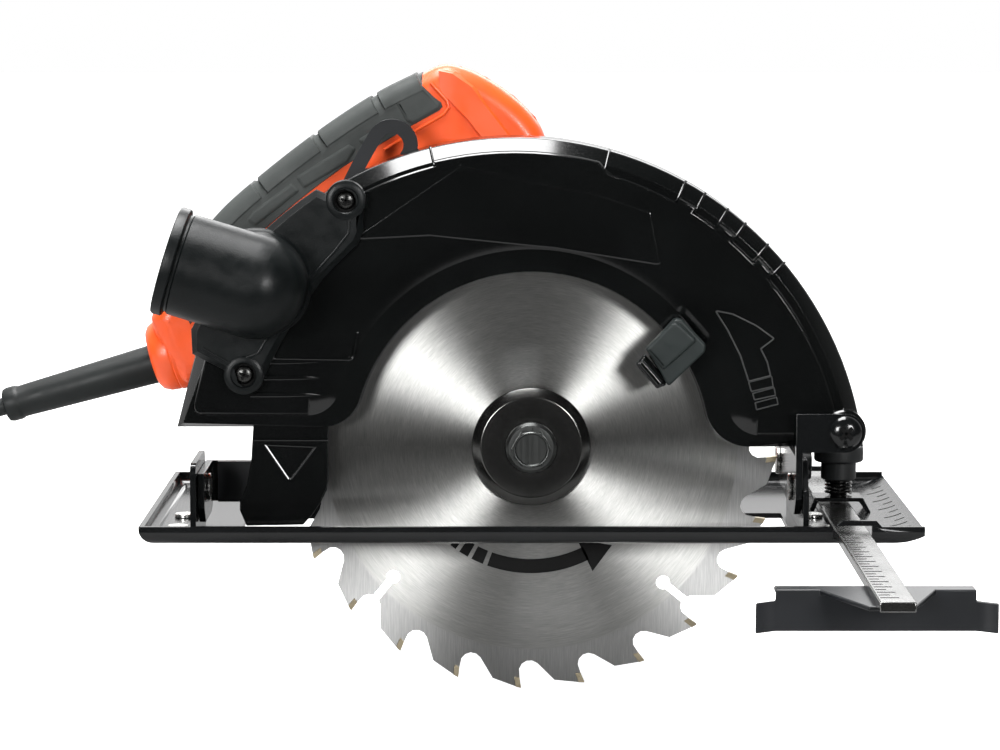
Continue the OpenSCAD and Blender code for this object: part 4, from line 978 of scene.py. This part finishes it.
def make_motor_bands(paints):
    """Moulded collar and side ribs on the motor housing."""
    centre = (MOTOR.x, 0, MOTOR.z)
    collar = [(42, 99), (43.2, 99), (43.9, 100), (44.1, 104), (43.9, 108), (43.2, 109), (42, 109)]
    front_band = [(42, 31), (43.1, 31), (43.6, 31.8), (43.6, 34.2), (43.1, 35), (42, 35)]
    shells = [lathe(collar, centre, sides=96, closed=True), lathe(front_band, centre, sides=96, closed=True)]
    for around in (0, 180):
        for k in range(-3, 4):
            a = radians(around + 9 * k)
            x, z = MOTOR.x + 42.9 * cos(a), MOTOR.z + 42.9 * sin(a)
            line = [Vector((x, 44 + 4 * i, z)) for i in range(9)]
            shells.append(tube(line, lambda t: 1.5 * (1 - (2 * t - 1) ** 6) + 0.1, 10))
    return piece("motor_bands", join(*shells), paints["orange"], body="head", angle=40)


def make_trigger(paints):
    outline = [(-26, 141), (-22.6, 138), (-24, 132), (-36, 127), (-48, 118.5), (-57, 112.5), (-61, 113.5),
               (-59, 120), (-60, 127), (-50, 134), (-40, 141)]
    blade = plate(filleted(outline, 2.2, 4), HANDLE_Y - 7.5, HANDLE_Y + 7.5, 2.6, steps=5)
    return piece("trigger_blade", blade, paints["black"], "trigger")


def sleeve_axis():
    """Where the cord's sleeve starts in the handle, and the way it points."""
    a = radians(105.8)
    return Vector((-128, HANDLE_Y, 63.5)), Vector((-sin(a), 0, cos(a)))


def make_sleeve(paints):
    """Bend protector: a collar in the handle and a long taper with a bead at its end."""
    start, d = sleeve_axis()
    profile = [(3.6, 4), (9, 5), (9, 10), (8.4, 10.6), (8.3, 15.5), (7.7, 16.2)]
    profile += [(7.7 - 1.5 * k / 12, 16.5 + 57 * k / 12) for k in range(13)]
    profile += [(6.6, 74.2), (6.75, 75.2), (6.75, 78), (6.3, 79.6), (5, 80.2), (3.6, 80.2)]
    shell = lathe(profile, start, d, 64, closed=True)
    return piece("bend_protector", shell, paints["cord"], "cord_sleeve", angle=45)


# ---------- blade and its fixing ----------

SPANNER = 13        # width across the bolt's flats


def make_blade_fixing(paints):
    """Outer flange, and the blade's bolt with its washer face and rimmed head."""
    centre = (0, 0, ARBOR.z)
    flange = [(6.1, -42.9), (22, -42.9), (22.3, -43.3), (22.3, -44.6), (22, -45.1), (19.2, -46.9),
              (18.6, -47.2), (11.5, -47.2), (10.9, -46.9), (6.1, -46.9)]
    made = [piece("flange_front", lathe(flange, centre, sides=96, closed=True), paints["flange"],
                  "outer_flange", angle=30)]
    washer = [(4, -47), (9.3, -47), (9.6, -47.4), (9.5, -48), (8.4, -48.8), (6.4, -49), (4, -49)]
    shells = [lathe(washer, centre, sides=64, closed=True)]
    hexagon = arc(0, ARBOR.z, SPANNER / sqrt(3), 0, 300, 60)
    head = [(1.5, -52.6), (1.1, -52.7), (0.75, -52.6), (0.15, -52.2), (0, -51.8), (0, -48.6)]
    shells.append(plate(filleted(hexagon, 0.35, 2), 0, 0, levels=head))
    crown = [(0, -52.9), (5.7, -52.9), (6.1, -53.5), (6.4, -53.55), (6.7, -53.3), (6.8, -51.5)]
    shells.append(lathe(crown, centre, sides=64))
    shells.append(lathe([(0, -47), (3.98, -47), (3.98, -25.5), (3.2, -25), (0, -25)], centre, sides=32))
    made.append(piece("blade_screw", join(*shells), paints["bolt"], "blade_bolt", angle=30))
    return made


def make_blade_marks(paints):
    """Plain printed arrow under the arbor that shows which way the blade turns."""
    level = -43.24
    band = arc(0, ARBOR.z, 48.4, 250, 297, 3) + arc(0, ARBOR.z, 43, 297, 250, 3)
    head = [Vector((0, ARBOR.z)) + r * Vector((cos(radians(a)), sin(radians(a))))
            for r, a in ((53, 296), (48.5, 309), (39.5, 296))]
    shells = [plate(p, level, level + 0.1, 0) for p in (band, head)]
    for a, wide in ((231, 3), (236, 4.4), (242.3, 5.6)):
        bar = arc(0, ARBOR.z, 48.4, a, a + wide, 2) + arc(0, ARBOR.z, 43, a + wide, a, 2)
        shells.append(plate(bar, level, level + 0.1, 0))
    return piece("turning_arrow", join(*shells), paints["print_and_recess_shade"], body="spindle")


# ---------- sole, brackets and guide ----------

# Upper face of the sole's curled front, and how far its marks stay from the edge
CURL_X, CURL_Z, CURL_R = 132, 27, 25
SOLE_RIM = 3

def make_clamp(paints):
    """Clamp screw with its knurled head and the light spring under it."""
    x, y = middle("clamp_screw").xy
    high = corners("clamp_knob")[1]
    n = 30
    knurl = [Vector((x + (9.6 - 0.3 * (k % 2)) * cos(pi * k / n),
                     y + (9.6 - 0.3 * (k % 2)) * sin(pi * k / n))) for k in range(2 * n)]
    neck = [(3.5, 14.3), (6.3, 14.3), (6.8, 14.8), (6.8, 21.4), (3.5, 21.6)]
    shells = [plate(knurl, 21.2, high.z, 1.1, place=top),
              lathe(neck, (x, y, 0), (0, 0, 1), 48, closed=True)]
    knob = piece("clamp_head", join(*shells), paints["black"], "clamp_knob", angle=40)
    turns, per = 4, 16
    coil = [Vector((x + 4.9 * cos(2 * pi * k / per), y + 4.9 * sin(2 * pi * k / per),
                    8.6 + 5.6 * k / (turns * per))) for k in range(turns * per + 1)]
    thread = [(3.5 if k % 2 else 3.05, 5.95 + 0.5 * k) for k in range(37)]
    shells = [tube(coil, 0.5, 8, up=(0, 0, 1)),
              lathe([(0, 5.75), *thread, (0, 24.9)], (x, y, 0), (0, 0, 1), 32)]
    screw = piece("clamp_thread", join(*shells), paints["dark_steel"], "clamp_screw", angle=30)
    return [knob, screw]


def make_scales(paints):
    """Graduations along the guide's arm and on the curled front of the sole."""
    low, high = corners("guide_arm")
    lines = []
    for k in range(26):
        y = low.y + 8 + k * 5
        long = 6.2 if k % 2 == 0 else 3.6
        if y < high.y - 4:
            start, end = (low.x + 1, y - 0.35, high.z - 0.05), (low.x + 1 + long, y + 0.35, high.z + 0.08)
            lines.append(block(start, end, 0.05))
    made = [piece("arm_scale", join(*lines), paints["print_and_recess_shade"], body="edge_guide")]
    low, high = corners("sole_plate")
    lines = []
    for k in range(13):
        y = low.y + 10 + k * 10
        long = 6.5 if k % 2 == 0 else 3.6
        line = []
        for i in range(5):
            x = high.x - SOLE_RIM - long * (1 - i / 4)
            line.append(Vector((x, y, CURL_Z - sqrt(CURL_R ** 2 - max(0, x - CURL_X) ** 2))))
        lines.append(tube(line, 0.5, 8, 0.3, up=(0, 0, 1)))
    made.append(piece("sole_scale", join(*lines), paints["print_and_recess_shade"], body="base"))
    return made


def make_pivot(paints):
    """Cross-headed pivot screw with a domed head; its cross recess is drawn as black blocks, painted shade."""
    x, z = PIVOT.x, PIVOT.z
    head = [(0, -64.9), (2.8, -64.85), (4.8, -64.2), (5.9, -63.2), (6.2, -62.4), (6, -62.02), (0, -62)]
    shank = [(0, -62.1), (3, -62.1), (3, 26.6), (2.4, 27), (0, 27)]
    shells = [lathe(head, (x, 0, z), sides=64), lathe(shank, (x, 0, z), sides=32)]
    screw = piece("pivot_bolt", join(*shells), paints["enamel"], "pivot_screw", angle=40)
    # Black blocks over the head: painted shade in the cross recess
    cross = []
    for a in (45, 135):
        cross.append(moved(block((-3.1, -65, -0.75), (3.1, -64.4, 0.75), 0.3), about_y(x, z, a)))
    recess = piece("pivot_recess_shade", join(*cross), paints["print_and_recess_shade"], body="bevel_frame")
    return [screw, recess]


# ---------- everything that keeps its CAD shape ----------

KEPT = {
    "enamel": ["sole_plate", "front_upstand", "rear_upstand", "clamp_bridge", "front_bracket",
               "rear_bracket"],
    "satin": ["guide_fence", "depth_quadrant"],
    "arm": ["guide_arm"],
    "black": ["bevel_knob", "motor_end_cap", "front_handle", "power_switch", "lock_button", "depth_lever",
              "spindle_lock", "brush_caps", "cooling_fan"],
    "orange": ["motor_housing"],
    "cast": ["gear_housing"],
    "blade": ["saw_blade"],
    "carbide": ["carbide_tips"],
    "steel": ["sole_rivets", "bevel_rivets", "pivot_nut", "bevel_stud", "housing_screws", "handle_screws",
              "depth_stud", "spindle", "spindle_bearings", "armature_shaft", "armature_bearings"],
    "dark_steel": ["stator_core", "guard_spring", "drive_gear", "inner_flange", "armature_core"],
    "copper": ["field_windings", "commutator"],
    "brass": ["brush_holders"],
    "carbon": ["carbon_brushes"],
}
EDGE = {
    "sole_plate": 0.55, "front_bracket": 0.6, "rear_bracket": 0.6, "depth_quadrant": 0.7, "guide_fence": 0.5,
    "saw_blade": 0.06, "carbide_tips": 0.1, "motor_housing": 0.9, "motor_end_cap": 0.6, "gear_housing": 1.2,
    "guide_arm": 0.4, "guard_spring": 0.15, "drive_gear": 0.12, "cooling_fan": 0.2, "commutator": 0.1,
    "front_handle": 0.1, "bevel_knob": 0.8, "depth_lever": 1.2,
}

make_camera()
make_lights()
make_room()
make_floor()
paints = make_paints()
cord, cord_line = make_cord(paints)
plug = make_plug(paints)
make_upper_guard(paints)
make_guard_marks(paints)
make_lower_guard(paints)
make_lever_cap(paints)
make_dust_port(paints)
make_port_screws(paints)
make_handle(paints)
make_grip(paints)
make_motor_bands(paints)
make_trigger(paints)
make_sleeve(paints)
make_blade_fixing(paints)
make_blade_marks(paints)
make_clamp(paints)
make_scales(paints)
make_pivot(paints)
for paint, nodes in KEPT.items():
    for node in nodes:
        softened(node, paints[paint], EDGE.get(node, 0.3))

[tuple(p * MM) for p in cord_line]
